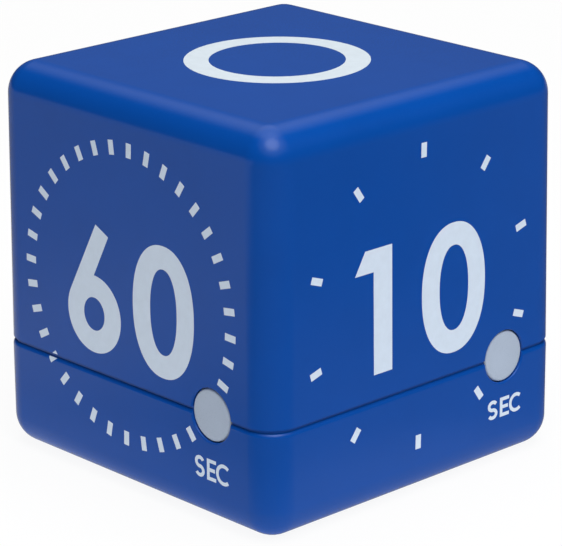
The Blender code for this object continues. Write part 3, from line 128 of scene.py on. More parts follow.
WORLD_LIGHT = 0.16
WALL_GLOW = 0.02                   # of the studio walls, in gloss
KEY_GLOW = (0.449, -0.228, 0.864)  # where gloss meets the lamps
BACK_GLOW = (-0.298, 0.241, 0.924)
REAR_GLOW = (-0.61, 0.57, 0.545)
UNDER_LIGHT = 0.9                  # of the floor under the cube, for what faces down on to it
NEAR_LIGHT = 1.5                   # of the floor close round the cube, for the same
FLOOR_GLOW = 0.92                  # share of the floor's look that is plain white, the rest lit paper
FLOOR_HALF = 3
CAMERA_ANGLES = (46.8078, 18.3819, -0.3852)     # round the cube, up and roll, in degrees
CAMERA_DISTANCE = 450.9933 * MM
CAMERA_ASIDE, CAMERA_ABOVE = 0.3748 * MM, -3.2489 * MM
AIM_HEIGHT = 30.587 * MM
FOCAL_PIXELS, PHOTO_PIXELS = 2989.2, 562
SENSOR_WIDTH = 36                  # in millimetres
LAMP_AIM = 30 * MM                 # height that the softboxes point at


# Colours and finishes

def paint(red, green, blue):
    """A colour given in display values from 0 to 255, as the linear colour Blender mixes."""
    def linear(value):
        share = value / 255
        return share / 12.92 if share <= 0.04045 else ((share + 0.055) / 1.055) ** 2.4

    return (linear(red), linear(green), linear(blue), 1)


def stronger(colour, share):
    """A colour made lighter by a share of itself, or darker when the share is below zero."""
    return tuple(min(1, c * (1 + share)) for c in colour[:3]) + (1,)


def start_finish(name):
    """A new material, its nodes, its links and its shader."""
    material = bpy.data.materials.new(name)
    material.use_nodes = True
    nodes = material.node_tree.nodes
    return material, nodes, material.node_tree.links, nodes["Principled BSDF"]


def set_inputs(node, **values):
    """Set a node's plain inputs; an underscore stands for a space in their names."""
    for name, value in values.items():
        node.inputs[name.replace("_", " ")].default_value = value
    return node


def noise(nodes, links, place, scale, detail, roughness):
    """The value of a noise at each place."""
    texture = set_inputs(nodes.new("ShaderNodeTexNoise"), Scale=scale, Detail=detail, Roughness=roughness)
    links.new(place, texture.inputs["Vector"])
    return texture.outputs["Fac"]


def spread(nodes, links, value, low, high, to_low, to_high):
    """A value's range from low to high, stretched to another range."""
    span = set_inputs(nodes.new("ShaderNodeMapRange"), From_Min=low, From_Max=high, To_Min=to_low,
                      To_Max=to_high)
    links.new(value, span.inputs["Value"])
    return span.outputs["Result"]


def blend_colours(nodes, links, share, first, second):
    """Two colours, plain or linked, blended by a share."""
    mix = nodes.new("ShaderNodeMix")
    mix.data_type = "RGBA"
    for socket, colour in ((mix.inputs[6], first), (mix.inputs[7], second)):
        if isinstance(colour, tuple):
            socket.default_value = colour
        else:
            links.new(colour, socket)
    links.new(share, mix.inputs[0])
    return mix.outputs[2]


def make_finish(name, colour, roughness, grain, bump, metallic=0.0, shade=0.08, patch=180,
                stretch=(1, 1, 1), **sockets):
    """Moulded, printed or metal surface: cloudy colour, uneven gloss and a fine grain."""
    material, nodes, links, shader = start_finish(name)
    colour = paint(*colour)
    place = nodes.new("ShaderNodeTexCoord").outputs["Object"]
    turn = nodes.new("ShaderNodeMapping")
    turn.inputs["Scale"].default_value = stretch
    links.new(place, turn.inputs["Vector"])
    place = turn.outputs["Vector"]
    cloud = noise(nodes, links, place, patch, 4, 0.6)
    share = spread(nodes, links, cloud, 0.3, 0.7, 0, 1)
    tone = blend_colours(nodes, links, share, stronger(colour, -shade), stronger(colour, shade))
    links.new(tone, shader.inputs["Base Color"])
    grit = noise(nodes, links, place, grain, 2, 0.5)
    gloss = spread(nodes, links, grit, 0.25, 0.75, roughness - 0.05, roughness + 0.05)
    links.new(gloss, shader.inputs["Roughness"])
    relief = set_inputs(nodes.new("ShaderNodeBump"), Strength=0.5, Distance=bump * MM)
    links.new(grit, relief.inputs["Height"])
    links.new(relief.outputs["Normal"], shader.inputs["Normal"])
    set_inputs(shader, Metallic=metallic, **sockets)
    return material


def reopened(material):
    """A finish's nodes and links, the socket of its colour, the colour so far, and each place."""
    nodes, links = material.node_tree.nodes, material.node_tree.links
    surface = nodes["Principled BSDF"].inputs["Base Color"]
    place = nodes.new("ShaderNodeTexCoord").outputs["Object"]
    return nodes, links, surface, surface.links[0].from_socket, place


def make_board_finish():
    """Green solder resist with copper tracks showing under it."""
    material = make_finish("board_solder_resist", (24, 92, 52), 0.3, patch=240, grain=3000, bump=0.004)
    nodes, links, surface, base, place = reopened(material)
    tracks = set_inputs(nodes.new("ShaderNodeTexBrick"), Scale=130, Mortar_Size=0.035, Mortar_Smooth=0.2,
                        Brick_Width=0.9, Row_Height=0.21)
    links.new(place, tracks.inputs["Vector"])
    links.new(blend_colours(nodes, links, tracks.outputs["Fac"], base, paint(52, 128, 66)), surface)
    return material


def make_flex_finish():
    """Amber film with a row of copper lines running up it."""
    material = make_finish("flex_amber_film", (176, 120, 42), 0.25, shade=0.06, patch=300, grain=2400,
                           bump=0.003)
    nodes, links, surface, base, place = reopened(material)
    lines = set_inputs(nodes.new("ShaderNodeTexWave"), Scale=260, Distortion=0)
    lines.bands_direction = "X"
    links.new(place, lines.inputs["Vector"])
    share = spread(nodes, links, lines.outputs["Fac"], 0.45, 0.55, 0, 0.7)
    links.new(blend_colours(nodes, links, share, base, paint(214, 138, 76)), surface)
    return material


# Forms: a form is a bmesh that holds one or more closed solids

def add_box(form, low, high, radius=0.0, steps=4, along=None):
    """A box between two corners, with every edge rounded, or only those along one axis."""
    low, high = Vector(low), Vector(high)
    verts = bmesh.ops.create_cube(form, size=1)["verts"]
    bmesh.ops.scale(form, verts=verts, vec=high - low)
    bmesh.ops.translate(form, verts=verts, vec=(low + high) / 2)
    if radius:
        edges = {edge for vert in verts for edge in vert.link_edges}
        if along is not None:
            edges = {edge for edge in edges if runs_along(edge, along)}
        round_edges(form, edges, radius, steps)


def runs_along(edge, axis):
    """Whether an edge lies along an axis, given by its index."""
    span = edge.verts[1].co - edge.verts[0].co
    return abs(span[axis]) > 0.99 * span.length


def round_edges(form, edges, radius, steps):
    """Give edges a round of a radius."""
    bmesh.ops.bevel(form, geom=list(edges), offset=radius, offset_type="OFFSET", segments=steps,
                    profile=0.5, affect="EDGES", clamp_overlap=True, material=-1)


def add_rod(form, radius, start, end, sides=32):
    """A cylinder from one point to another."""
    start, end = Vector(start), Vector(end)
    along = end - start
    turn = along.to_track_quat("Z", "Y").to_matrix().to_4x4()
    bmesh.ops.create_cone(form, cap_ends=True, segments=sides, radius1=radius, radius2=radius,
                          depth=along.length, matrix=Matrix.Translation((start + end) / 2) @ turn)


def upright(form, radius, x, y, bottom, top, sides=32):
    """A standing cylinder between two heights."""
    add_rod(form, radius, (x, y, bottom), (x, y, top), sides=sides)


def add_spun(form, profile, place=Matrix.Identity(4), sides=48):
    """A profile of (radius, height) points spun round Z and put in place."""
    spun = bmesh.new()
    verts = [spun.verts.new((radius, 0, height)) for radius, height in profile]
    edges = [spun.edges.new(pair) for pair in zip(verts, verts[1:])]
    bmesh.ops.spin(spun, geom=verts + edges, cent=(0, 0, 0), axis=(0, 0, 1), dvec=(0, 0, 0),
                   angle=math.tau, steps=sides, use_merge=True, use_duplicate=False)
    bmesh.ops.remove_doubles(spun, verts=spun.verts, dist=SAME)
    bmesh.ops.recalc_face_normals(spun, faces=spun.faces)
    bmesh.ops.transform(spun, matrix=place, verts=spun.verts)
    add_form(form, spun)


def new_box(*box, **rounding):
    """A form that is one box."""
    form = bmesh.new()
    add_box(form, *box, **rounding)
    return form


def new_spun(*spun):
    """A form that is one spun profile."""
    form = bmesh.new()
    add_spun(form, *spun)
    return form


def add_form(form, other):
    """Put a copy of another form's solids into a form, and free the other."""
    mesh = bpy.data.meshes.new("passing")
    other.to_mesh(mesh)
    other.free()
    form.from_mesh(mesh)
    bpy.data.meshes.remove(mesh)


def arc(centre, radius, start, end, steps):
    """Points on an arc, with angles in degrees."""
    angles = [math.radians(start + (end - start) * step / steps) for step in range(steps + 1)]
    return [(centre[0] + radius * math.cos(a), centre[1] + radius * math.sin(a)) for a in angles]


def frame_at(point, direction, side=(1, 0, 0)):
    """A place whose Z runs along a direction and whose X runs along a side."""
    along = Vector(direction).normalized()
    across = Vector(side).normalized()
    third = along.cross(across)
    return Matrix.Translation(point) @ Matrix((across, third, along)).transposed().to_4x4()


def quarter(x, y, turns):
    """A point turned by quarter turns about the cube's upright axis."""
    for _ in range(turns):
        x, y = -y, x
    return x, y


def quarter_box(form, low, high, turns):
    """A box turned by quarter turns about the cube's upright axis."""
    first = quarter(low[0], low[1], turns)
    second = quarter(high[0], high[1], turns)
    add_box(form, (min(first[0], second[0]), min(first[1], second[1]), low[2]),
            (max(first[0], second[0]), max(first[1], second[1]), high[2]))


def verts_in(geometry):
    """The vertices among the parts that an operator gives back."""
    return [part for part in geometry if isinstance(part, bmesh.types.BMVert)]


def show(name, form):
    """An object of a form, at the origin; the form is freed."""
    mesh = bpy.data.meshes.new(name)
    form.to_mesh(mesh)
    form.free()
    made = bpy.data.objects.new(name, mesh)
    bpy.context.scene.collection.objects.link(made)
    return made


def read_back(made):
    """The finished form of an object and its modifiers; the object is removed."""
    bpy.context.view_layer.update()
    mesh = bpy.data.meshes.new_from_object(made.evaluated_get(bpy.context.evaluated_depsgraph_get()))
    form = bmesh.new()
    form.from_mesh(mesh)
    source = made.data
    bpy.data.objects.remove(made, do_unlink=True)
    bpy.data.meshes.remove(mesh)
    if source.users == 0 and isinstance(source, bpy.types.Mesh):
        bpy.data.meshes.remove(source)
    return form


def combined(body, tool, operation):
    """Two closed forms joined, or the second cut out of the first."""
    whole, other = show("whole", body), show("tool", tool)
    boolean = whole.modifiers.new("combine", "BOOLEAN")
    boolean.operation = operation
    boolean.solver = "EXACT"
    boolean.object = other
    form = read_back(whole)
    source = other.data
    bpy.data.objects.remove(other, do_unlink=True)
    bpy.data.meshes.remove(source)
    return form


def carve(body, *tools):
    """A form with others cut out of it."""
    for tool in tools:
        body = combined(body, tool, "DIFFERENCE")
    return body


def join(body, *tools):
    """Forms made into one."""
    for tool in tools:
        body = combined(body, tool, "UNION")
    return body


def cross_form(low, high, first_turn, place=Matrix.Identity(4), **rounding):
    """A box and the same box a quarter turn on, joined, with the first turned about Z by an angle."""
    arms = [new_box(low, high, **rounding) for _ in range(2)]
    for arm, turn in zip(arms, (first_turn, first_turn + 90)):
        turned = place @ Matrix.Rotation(math.radians(turn), 4, "Z")
        bmesh.ops.transform(arm, matrix=turned, verts=arm.verts)
    return join(*arms)


def add_line(curve, points, closed):
    """Put straight runs through the points into a curve."""
    spline = curve.splines.new("POLY")
    spline.points.add(len(points) - 1)
    spline.use_cyclic_u = closed
    for control, point in zip(spline.points, points):
        control.co = (*point, 1)


def read_curve(curve, merge):
    """The form of a curve, with points nearer to each other than a distance made one."""
    made = bpy.data.objects.new(curve.name, curve)
    bpy.context.scene.collection.objects.link(made)
    form = read_back(made)
    bmesh.ops.remove_doubles(form, verts=form.verts, dist=merge)
    bmesh.ops.recalc_face_normals(form, faces=form.faces)
    return form


def wire_form(points, radius, resolution):
    """A round wire along the points, with its ends closed."""
    curve = bpy.data.curves.new("wire", "CURVE")
    curve.dimensions = "3D"
    curve.bevel_depth = radius
    curve.bevel_resolution = resolution
    curve.use_fill_caps = True
    add_line(curve, points, False)
    return read_curve(curve, radius / 100)


def flat_plate(outlines, bottom, top, place=None):
    """Flat closed outlines in millimetres, with the inner ones left open, given a thickness."""
    curve = bpy.data.curves.new("plate", "CURVE")
    curve.dimensions = "2D"
    curve.fill_mode = "BOTH"
    curve.extrude = (top - bottom) / 2
    for outline in outlines:
        add_line(curve, [(x * MM, y * MM, 0) for x, y in outline], True)
    form = read_curve(curve, 2 * SAME)
    bmesh.ops.translate(form, verts=form.verts, vec=(0, 0, (top + bottom) / 2))
    if place is not None:
        bmesh.ops.transform(form, matrix=place, verts=form.verts)
    return form


def strip_form(points, across, thickness):
    """A strip of even thickness: a line through the points, swept by a vector."""
    form = bmesh.new()
    verts = [form.verts.new(point) for point in points]
    edges = [form.edges.new(pair) for pair in zip(verts, verts[1:])]
    swept = bmesh.ops.extrude_edge_only(form, edges=edges)["geom"]
    bmesh.ops.translate(form, verts=verts_in(swept), vec=across)
    strip = show("strip", form)
    wall = strip.modifiers.new("thickness", "SOLIDIFY")
    wall.thickness = thickness
    wall.offset = 0
    wall.use_even_offset = True
    form = read_back(strip)
    bmesh.ops.recalc_face_normals(form, faces=form.faces)
    return form


def add_copies(form, one, places):
    """Put a form in at each of the places, and free it."""
    for place in places:
        other = one.copy()
        bmesh.ops.transform(other, matrix=place, verts=other.verts)
        add_form(form, other)
    one.free()


def rounded_outline(half_x, half_y, radius, centre=(0, 0)):
    """A rectangle with round corners, as points in millimetres."""
    points = []
    for side_x, side_y, start in ((1, 1, 0), (-1, 1, 90), (-1, -1, 180), (1, -1, 270)):
        points += arc((centre[0] + side_x * (half_x - radius), centre[1] + side_y * (half_y - radius)),
                      radius, start, start + 90, 6)
    return points


def soften_face(form, axis, height, radius, steps=2):
    """Round the rim of the flat face that lies at a height along an axis."""
    rim = [edge for edge in form.edges if all(abs(v.co[axis] - height) < 2 * SAME for v in edge.verts)
           and any(abs(face.normal[axis]) < 0.5 for face in edge.link_faces)]
    round_edges(form, rim, radius, steps)


def finish_piece(name, form, material, body="root", replaces=(), slot=None, smooth=38):
    """A finished piece on its body; edges sharper than the angle stay sharp."""
    made = show(name, form)
    made.data.materials.append(material)
    made.data.shade_smooth()
    made.data.set_sharp_from_angle(angle=math.radians(smooth))
    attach(made, body)
    if replaces:
        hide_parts(*replaces)
    return made


def finish_shell(name, form, material, **riding):
    """A moulded piece whose wide faces stay even to the light, up to their small roundings."""
    made = finish_piece(name, form, material, slot="blue_plastic", **riding)
    made.modifiers.new("even_faces", "WEIGHTED_NORMAL").keep_sharp = True


# Housing

def housing_block(half, far_half, open_height, closed_height, corner, edge=0.0):
    """A solid block with rounded sides and closed end, and a small rounding round its open end."""
    form = bmesh.new()
    bmesh.ops.create_cube(form, size=1)
    upward = 1 if closed_height > open_height else -1
    for vert in form.verts:
        closed = vert.co.z * upward > 0
        reach = far_half if closed else half
        vert.co = Vector((math.copysign(reach, vert.co.x), math.copysign(reach, vert.co.y),
                          closed_height if closed else open_height))

    def rim():
        return [line for line in form.edges
                if all(abs(vert.co.z - open_height) < FIT / 10 for vert in line.verts)]

    round_edges(form, set(form.edges) - set(rim()), corner, CORNER_STEPS)
    if edge:
        round_edges(form, rim(), edge, 5)
    bmesh.ops.recalc_face_normals(form, faces=form.faces)
    return form


def square_ring(outer, inner, bottom, top, corner):
    """A square wall with round corners, open above and below."""
    ring = new_box((-outer, -outer, bottom), (outer, outer, top), corner, CORNER_STEPS, along=Z_AXIS)
    hole = new_box((-inner, -inner, bottom - PAST), (inner, inner, top + PAST),
                   corner - (outer - inner), CORNER_STEPS, along=Z_AXIS)
    return carve(ring, hole)


def lens_place(turns, height):
    """Where a lens sits on a face, looking out."""
    x, y = quarter(LENS_OFFSET, 0, turns)
    outward = quarter(0, -1, turns)
    return frame_at((x, y, height), (*outward, 0), (0, 0, 1))


def lens_holes(face):
    """Four round holes on the seam, each with a small rounding where it meets the outer face."""
    start = 27.9 * MM
    mouth = arc((LENS_SEAT + MOUTH_EDGE, face - MOUTH_EDGE), MOUTH_EDGE, 180, 90, 4)
    profile = ([(0, start), (LENS_SEAT, start)] + mouth
               + [(LENS_SEAT + MOUTH_EDGE, face + PAST), (0, face + PAST)])
    holes = bmesh.new()
    for turns in range(4):
        add_spun(holes, profile, lens_place(turns, LENS_HEIGHT), 64)
    return holes


def boss_points():
    """Where the case screws stand."""
    return [middle("case_screw_%d" % number) for number in range(1, 5)]


def post_points():
    """Where the board's screws stand."""
    return [middle("board_screw_%d" % number) for number in range(1, 4)]


def make_upper_housing(material):
    """The upper half: a drafted open box with its lip, bosses, ribs and half of each lens hole."""
    shell = housing_block(UPPER_HALF - INK_PROUD, TOP_HALF - INK_PROUD, SKIRT, TOP - INK_PROUD,
                          CORNER, SKIRT_EDGE)
    shell = carve(shell, housing_block(UPPER_HALF - WALL, TOP_HALF - WALL, UPPER_RIM - PAST, TOP - WALL,
                                       CORNER - WALL))
    shell = join(shell, square_ring(LIP_HALF, LIP_HALF - LIP_THICKNESS, BASE_RIM - LIP_DEPTH,
                                    UPPER_RIM + LIP_DEPTH, CORNER - RIM_THICKNESS - LIP_FIT))
    bosses, pilots = bmesh.new(), bmesh.new()
    boss_low, pilot_end = UPPER_RIM - SEAM_GAP * 1.5, 24.3 * MM
    for point in boss_points():
        upright(bosses, BOSS_RADIUS, point.x, point.y, boss_low, BOSS_TOP)
        upright(pilots, CASE_PILOT, point.x, point.y, boss_low - PAST, pilot_end, sides=24)
    ribs = bmesh.new()
    first = boss_points()[0]
    for turns in range(4):
        quarter_box(ribs, (first.x, first.y - RIB_HALF, UPPER_RIM + 0.6 * MM),
                    (UPPER_HALF - WALL * 0.6, first.y + RIB_HALF, BOSS_TOP - 1.2 * MM), turns)
    shell = carve(join(shell, bosses, ribs), pilots, lens_holes(UPPER_HALF - INK_PROUD))
    finish_shell("upper_housing", shell, material, replaces=["main_shell"])


def make_base_housing(material):
    """The lower half, with all that is moulded on its floor and cut through it."""
    face, inner, rebate_half = BASE_HALF - INK_PROUD, BASE_HALF - WALL, BASE_HALF - RIM_THICKNESS
    base = housing_block(face, face, BASE_RIM, INK_PROUD, CORNER, BASE_EDGE)
    base = carve(base, housing_block(inner, inner, BASE_RIM + PAST, WALL, CORNER - WALL))
    rebate = new_box((-rebate_half, -rebate_half, BASE_RIM - LIP_DEPTH - FIT),
                     (rebate_half, rebate_half, BASE_RIM + PAST), CORNER - RIM_THICKNESS, CORNER_STEPS,
                     along=Z_AXIS)
    base = carve(base, rebate, lens_holes(face))
    base = join(base, bay_box(), wells_and_posts(), small_fittings())
    base = carve(base, bay_space(), door_seat(), hinge_pockets(), screw_wells(), pilot_holes(),
                 sound_holes(), thumb_slot(), window_seat(), sight_hole())
    finish_shell("base_housing", base, material, replaces=["base_shell"])


def bay_corners():
    """The battery bay's inside, from the door above which it lies and the contacts at its ends."""
    low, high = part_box("battery_door")
    half_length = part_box("contact_bridge")[1].x + FIT
    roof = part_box("cell_a")[1].z + FIT
    return Vector((-half_length, low.y + FIT, 0)), Vector((half_length, high.y - FIT, roof))


def bay_box():
    """The walls and roof of the battery bay, still filled."""
    low, high = bay_corners()
    return new_box((low.x - BAY_WALL, low.y - BAY_WALL, WALL / 2),
                   (high.x + BAY_WALL, high.y + BAY_WALL, high.z + BAY_ROOF), 0.3 * MM, 3)


def wells_and_posts():
    """Wells over the case screws' heads, the ends and webs that carry them on, and the board's posts."""
    well_top, end_top = 11.8 * MM, 16.45 * MM
    wells, ends, webs = (bmesh.new() for _ in range(3))
    for point in boss_points():
        upright(wells, WELL_OUTSIDE, point.x, point.y, WALL / 2, well_top, sides=48)
        upright(ends, BOSS_RADIUS, point.x, point.y, WELL_DEPTH, end_top, sides=48)
    for point in post_points():
        upright(wells, POST_RADIUS, point.x, point.y, WALL / 2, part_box("circuit_board")[0].z - FIT)
    first = boss_points()[0]
    for turns in range(4):
        quarter_box(webs, (first.x, first.y - RIB_HALF, CORNER),
                    (BASE_HALF - WALL / 2, first.y + RIB_HALF, WELL_DEPTH), turns)
    return join(wells, ends, webs)


def small_fittings():
    """The buzzer's collar, the display's stakes and the two guides of the sound switch."""
    form = bmesh.new()
    low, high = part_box("buzzer")
    buzzer = middle("buzzer")
    upright(form, (high.x - low.x) / 2, buzzer.x, buzzer.y, WALL / 2, low.z - FIT, sides=48)
    frame_low, frame_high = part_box("lcd_frame")
    y, ear_top, inset = (frame_low.y + frame_high.y) / 2, frame_low.z + 1.2 * MM, 1.55 * MM
    head = [(0, 0.55 * MM), (0.7 * MM, 0.45 * MM), (1.3 * MM, 0.1 * MM), (1.35 * MM, 0), (0, 0)]
    for x in (frame_low.x + inset, frame_high.x - inset):
        upright(form, 0.8 * MM, x, y, WALL / 2, ear_top + FIT, sides=24)
        add_spun(form, head, Matrix.Translation((x, y, ear_top)), 24)
    cap_low, cap_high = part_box("switch_cap")
    guide_reach, guide_height, outside = 2 * MM, 1.5 * MM, 1.1 * MM
    for y_low, y_high in ((cap_low.y - outside, cap_low.y - FIT), (cap_high.y + FIT, cap_high.y + outside)):
        add_box(form, (cap_low.x - guide_reach, y_low, WALL / 2),
                (cap_high.x + guide_reach, y_high, WALL + guide_height), 0.15 * MM, 2)
    return form


def bay_space():
    """The room for the cells, open to below."""
    low, high = bay_corners()
    return new_box((low.x, low.y, -PAST), high, 0.3 * MM, 3)


def door_seat():
    """The recess that the battery cover closes into, level with the underside."""
    low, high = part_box("battery_door")
    return new_box((low.x + PIVOT_INSET - FIT, low.y - FIT, -PAST), (high.x + FIT, high.y + FIT, WALL),
                   1.4 * MM, 8, along=Z_AXIS)


def tab_places():
    """Where along its hinge the battery cover's tabs stand."""
    low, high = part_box("battery_door")
    centre = (low.y + high.y) / 2
    return [centre - TAB_SPACING, centre + TAB_SPACING]


def hinge_pockets():
    """The two pockets that the tabs turn in."""
    form = bmesh.new()
    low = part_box("battery_door")[0]
    half, depth, bottom, top = 2.8 * MM, 3.1 * MM, 0.9 * MM, 2.45 * MM
    for y in tab_places():
        add_box(form, (low.x - FIT, y - half, bottom), (low.x + depth, y + half, top))
    return form


def round_mouth(radius, edge, depth):
    """A hole's profile up from the underside, with its mouth rounded."""
    wide = radius + edge
    mouth = arc((wide, INK_PROUD + edge), edge, 270, 180, 3)
    return [(0, -PAST), (wide, -PAST)] + mouth + [(radius, depth), (0, depth)]


def screw_wells():
    """The wells of the case screws and the room in the buzzer's collar."""
    form = bmesh.new()
    for point in boss_points():
        add_spun(form, round_mouth(WELL_RADIUS, 0.2 * MM, WELL_DEPTH),
                 Matrix.Translation((point.x, point.y, 0)), 48)
    low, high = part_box("buzzer")
    buzzer = middle("buzzer")
    upright(form, (high.x - low.x) / 2 - 0.8 * MM, buzzer.x, buzzer.y, WALL, low.z + PAST, sides=48)
    return form


def pilot_holes():
    """The holes that the case screws pass and that the board's screws bite into."""
    form = bmesh.new()
    for points, radius, bottom, top in ((boss_points(), CASE_PILOT, 9 * MM, 17.5 * MM),
                                        (post_points(), BOARD_PILOT, 8 * MM, 14.5 * MM)):
        for point in points:
            upright(form, radius, point.x, point.y, bottom, top, sides=24)
    return form


def sound_holes():
    """A hole in the middle and six round it, under the buzzer."""
    form = bmesh.new()
    buzzer, ring = middle("buzzer"), 2.2 * MM
    places = [(0, 0)] + [(ring * math.cos(math.tau * k / 6), ring * math.sin(math.tau * k / 6))
                         for k in range(6)]
    for x, y in places:
        add_spun(form, round_mouth(0.6 * MM, 0.15 * MM, WALL + PAST),
                 Matrix.Translation((buzzer.x + x, buzzer.y + y, 0)), 24)
    return form


def thumb_slot():
    """The slot that the sound switch's thumb piece slides in."""
    cap = middle("switch_cap")
    half_x, half_y = 3.6 * MM, 1.6 * MM
    return new_box((cap.x - half_x, cap.y - half_y, -PAST), (cap.x + half_x, cap.y + half_y, WALL + PAST),
                   0.3 * MM, 3, along=Z_AXIS)


def window_seat():
    """The recess that the display's window is glued into."""
    low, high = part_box("display_window")
    return new_box((low.x - FIT, low.y - FIT, -PAST), (high.x + FIT, high.y + FIT, high.z + FIT),
                   1.8 * MM, 8, along=Z_AXIS)


def sight_hole():
    """The opening above the window's ledge, through which the display is read."""
    low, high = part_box("display_window")
    return new_box((low.x + WINDOW_LEDGE, low.y + WINDOW_LEDGE, -PAST),
                   (high.x - WINDOW_LEDGE, high.y - WINDOW_LEDGE, WALL + PAST), 0.5 * MM, 3, along=Z_AXIS)


# Print: each dial is drawn with X to the right and Y up from its centre, seen from outside

def dial_place(turns, upper):
    """Where a dial's drawing goes on a face; the upper housing's faces lean with the draft."""
    lean = math.tan(DRAFT) if upper else 0
    face = (UPPER_HALF if upper else BASE_HALF) - INK_PROUD
    back = -face + (DIAL_HEIGHT - UPPER_RIM) * lean
    flat = Matrix(((1, 0, 0, 0), (0, lean, -1, back), (0, 1, 0, DIAL_HEIGHT), (0, 0, 0, 1)))
    return Matrix.Rotation(math.radians(90 * turns), 4, "Z") @ flat


def ink_shape(outlines):
    """Outlines as a thin layer of ink."""
    return flat_plate(outlines, -INK_DEPTH, INK_PROUD)


def ink_stroke(points, width):
    """A stroke of even width along a line, as a thin layer of ink."""
    return strip_form([(x * MM, y * MM, -INK_DEPTH) for x, y in points], (0, 0, INK_DEPTH + INK_PROUD),
                      width * MM)


def round_shape(centre, half_width, half_height, power=2.0, steps=96):
    """An ellipse, or a fuller oval when the power is above two."""
    points = []
    for step in range(steps):
        angle = math.tau * step / steps
        across, up = math.cos(angle), math.sin(angle)
        points.append((centre[0] + half_width * math.copysign(abs(across) ** (2 / power), across),
                       centre[1] + half_height * math.copysign(abs(up) ** (2 / power), up)))
    return points


def figure_six():
    """A round bowl with a hole, and a straight stem that leans over it."""
    bowl = (-7.55, -4.45)
    outline = [(-4.1, 8.05)] + arc(bowl, 5.97, 89.5, -207.3, 80) + [(-6.9, 9.4)]
    return ink_shape([outline, round_shape(bowl, 2.325, 2.55)])


def figure_nought(centre, half, hole_centre, hole_half):
    """A full oval with an oval hole."""
    return ink_shape([round_shape(centre, *half, NOUGHT_FULLNESS),
                      round_shape(hole_centre, *hole_half, NOUGHT_FULLNESS)])


def figure_one():
    """A straight stem with a level flag."""
    return ink_shape([[(-5.95, 9.55), (-11.3, 9.55), (-13.35, 6.15), (-9.65, 6.15), (-9.65, -9.35),
                       (-5.95, -9.35)]])


def figure_three():
    """Two bows, one on the other."""
    upper = ink_stroke(arc((-7.4, 4.2), 3.375, 160, -70, 40), FIGURE_STROKE)
    lower = ink_stroke(arc((-7.4, -4.48), 4.145, 75, -160, 48), FIGURE_STROKE)
    return join(upper, lower)


def figure_two():
    """A bow that runs down into a slant, on a level foot."""
    bend = ink_stroke(arc((-7.4, 3.9), 3.7, 170, -38, 40) + [(-11.2, -7.6)], FIGURE_STROKE)
    foot = ink_shape([[(-13.3, -10.45), (-1.7, -10.45), (-1.7, -6.8), (-13.3, -6.8)]])
    return join(bend, foot)


def small_word(left, right, top, bottom):
    """The word SEC below the dial, in one thin stroke width."""
    width = WORD_STROKE
    span, tall = right - left, top - bottom
    form = bmesh.new()
    s_left, s_right = left + width / 2, left + 0.275 * span - width / 2
    e_left, e_right = left + 0.345 * span, left + 0.605 * span
    c_left = left + 0.605 * span + width / 2
    s_x, s_reach, s_rise = (s_left + s_right) / 2, (s_right - s_left) / 2, (tall - width) / 4
    upper, lower = top - width / 2 - s_rise, bottom + width / 2 + s_rise
    bends = [(s_x + s_reach * math.cos(math.radians(a)), upper + s_rise * math.sin(math.radians(a)))
             for a in range(25, 271, 9)]
    bends += [(s_x + s_reach * math.cos(math.radians(a)), lower + s_rise * math.sin(math.radians(a)))
              for a in range(81, -156, -9)]
    add_form(form, ink_stroke(bends, width))
    half, inset = width / 2, 0.25
    middle_y = (top + bottom) / 2
    add_form(form, ink_shape([[(e_left, bottom), (e_right, bottom), (e_right, bottom + width),
                               (e_left + width, bottom + width), (e_left + width, middle_y - half),
                               (e_right - inset, middle_y - half), (e_right - inset, middle_y + half),
                               (e_left + width, middle_y + half), (e_left + width, top - width),
                               (e_right, top - width), (e_right, top), (e_left, top)]]))
    radius = (tall - width) / 2
    add_form(form, ink_stroke(arc((c_left + radius, middle_y), radius, 48, 312, 36), width))
    return form


def tick_ring(angles, drawn_in):
    """Ticks round the dial's centre; those named as drawn in stand a little nearer to it."""
    form = bmesh.new()
    for angle in angles:
        reach = DRAWN_IN_REACH if angle in drawn_in else TICK_REACH
        turn = Matrix.Rotation(math.radians(angle), 4, "Z")
        verts = bmesh.ops.create_cube(form, size=1)["verts"]
        bmesh.ops.scale(form, verts=verts, vec=(TICK_LENGTH, TICK_WIDTH, INK_DEPTH + INK_PROUD))
        bmesh.ops.translate(form, verts=verts, vec=(reach, 0, (INK_PROUD - INK_DEPTH) / 2))
        bmesh.ops.transform(form, matrix=turn, verts=verts)
    return form


def cut_across(form, height, **cleared):
    """Cut a drawing through at a height, and clear the side that is named."""
    bmesh.ops.bisect_plane(form, geom=form.verts[:] + form.edges[:] + form.faces[:], dist=SAME,
                           plane_co=(0, height, 0), plane_no=(0, 1, 0), **cleared)


def keep_side(form, height, above):
    """Leave the part of a drawing above or below a height, and close its cut ends."""
    cut_across(form, height, clear_inner=above, clear_outer=not above)
    ends = [edge for edge in form.edges if edge.is_boundary]
    bmesh.ops.holes_fill(form, edges=ends, sides=0)
    bmesh.ops.recalc_face_normals(form, faces=form.faces)


def bend_over_rim(form):
    """Let the print that reaches the base's rounded rim follow it."""
    start = BASE_RIM - BASE_EDGE - DIAL_HEIGHT
    for step in range(6):
        cut_across(form, start + BASE_EDGE * step / 8)
    for vert in form.verts:
        past = max(0, vert.co.y - start)
        vert.co.z -= BASE_EDGE - math.sqrt(BASE_EDGE ** 2 - past ** 2)


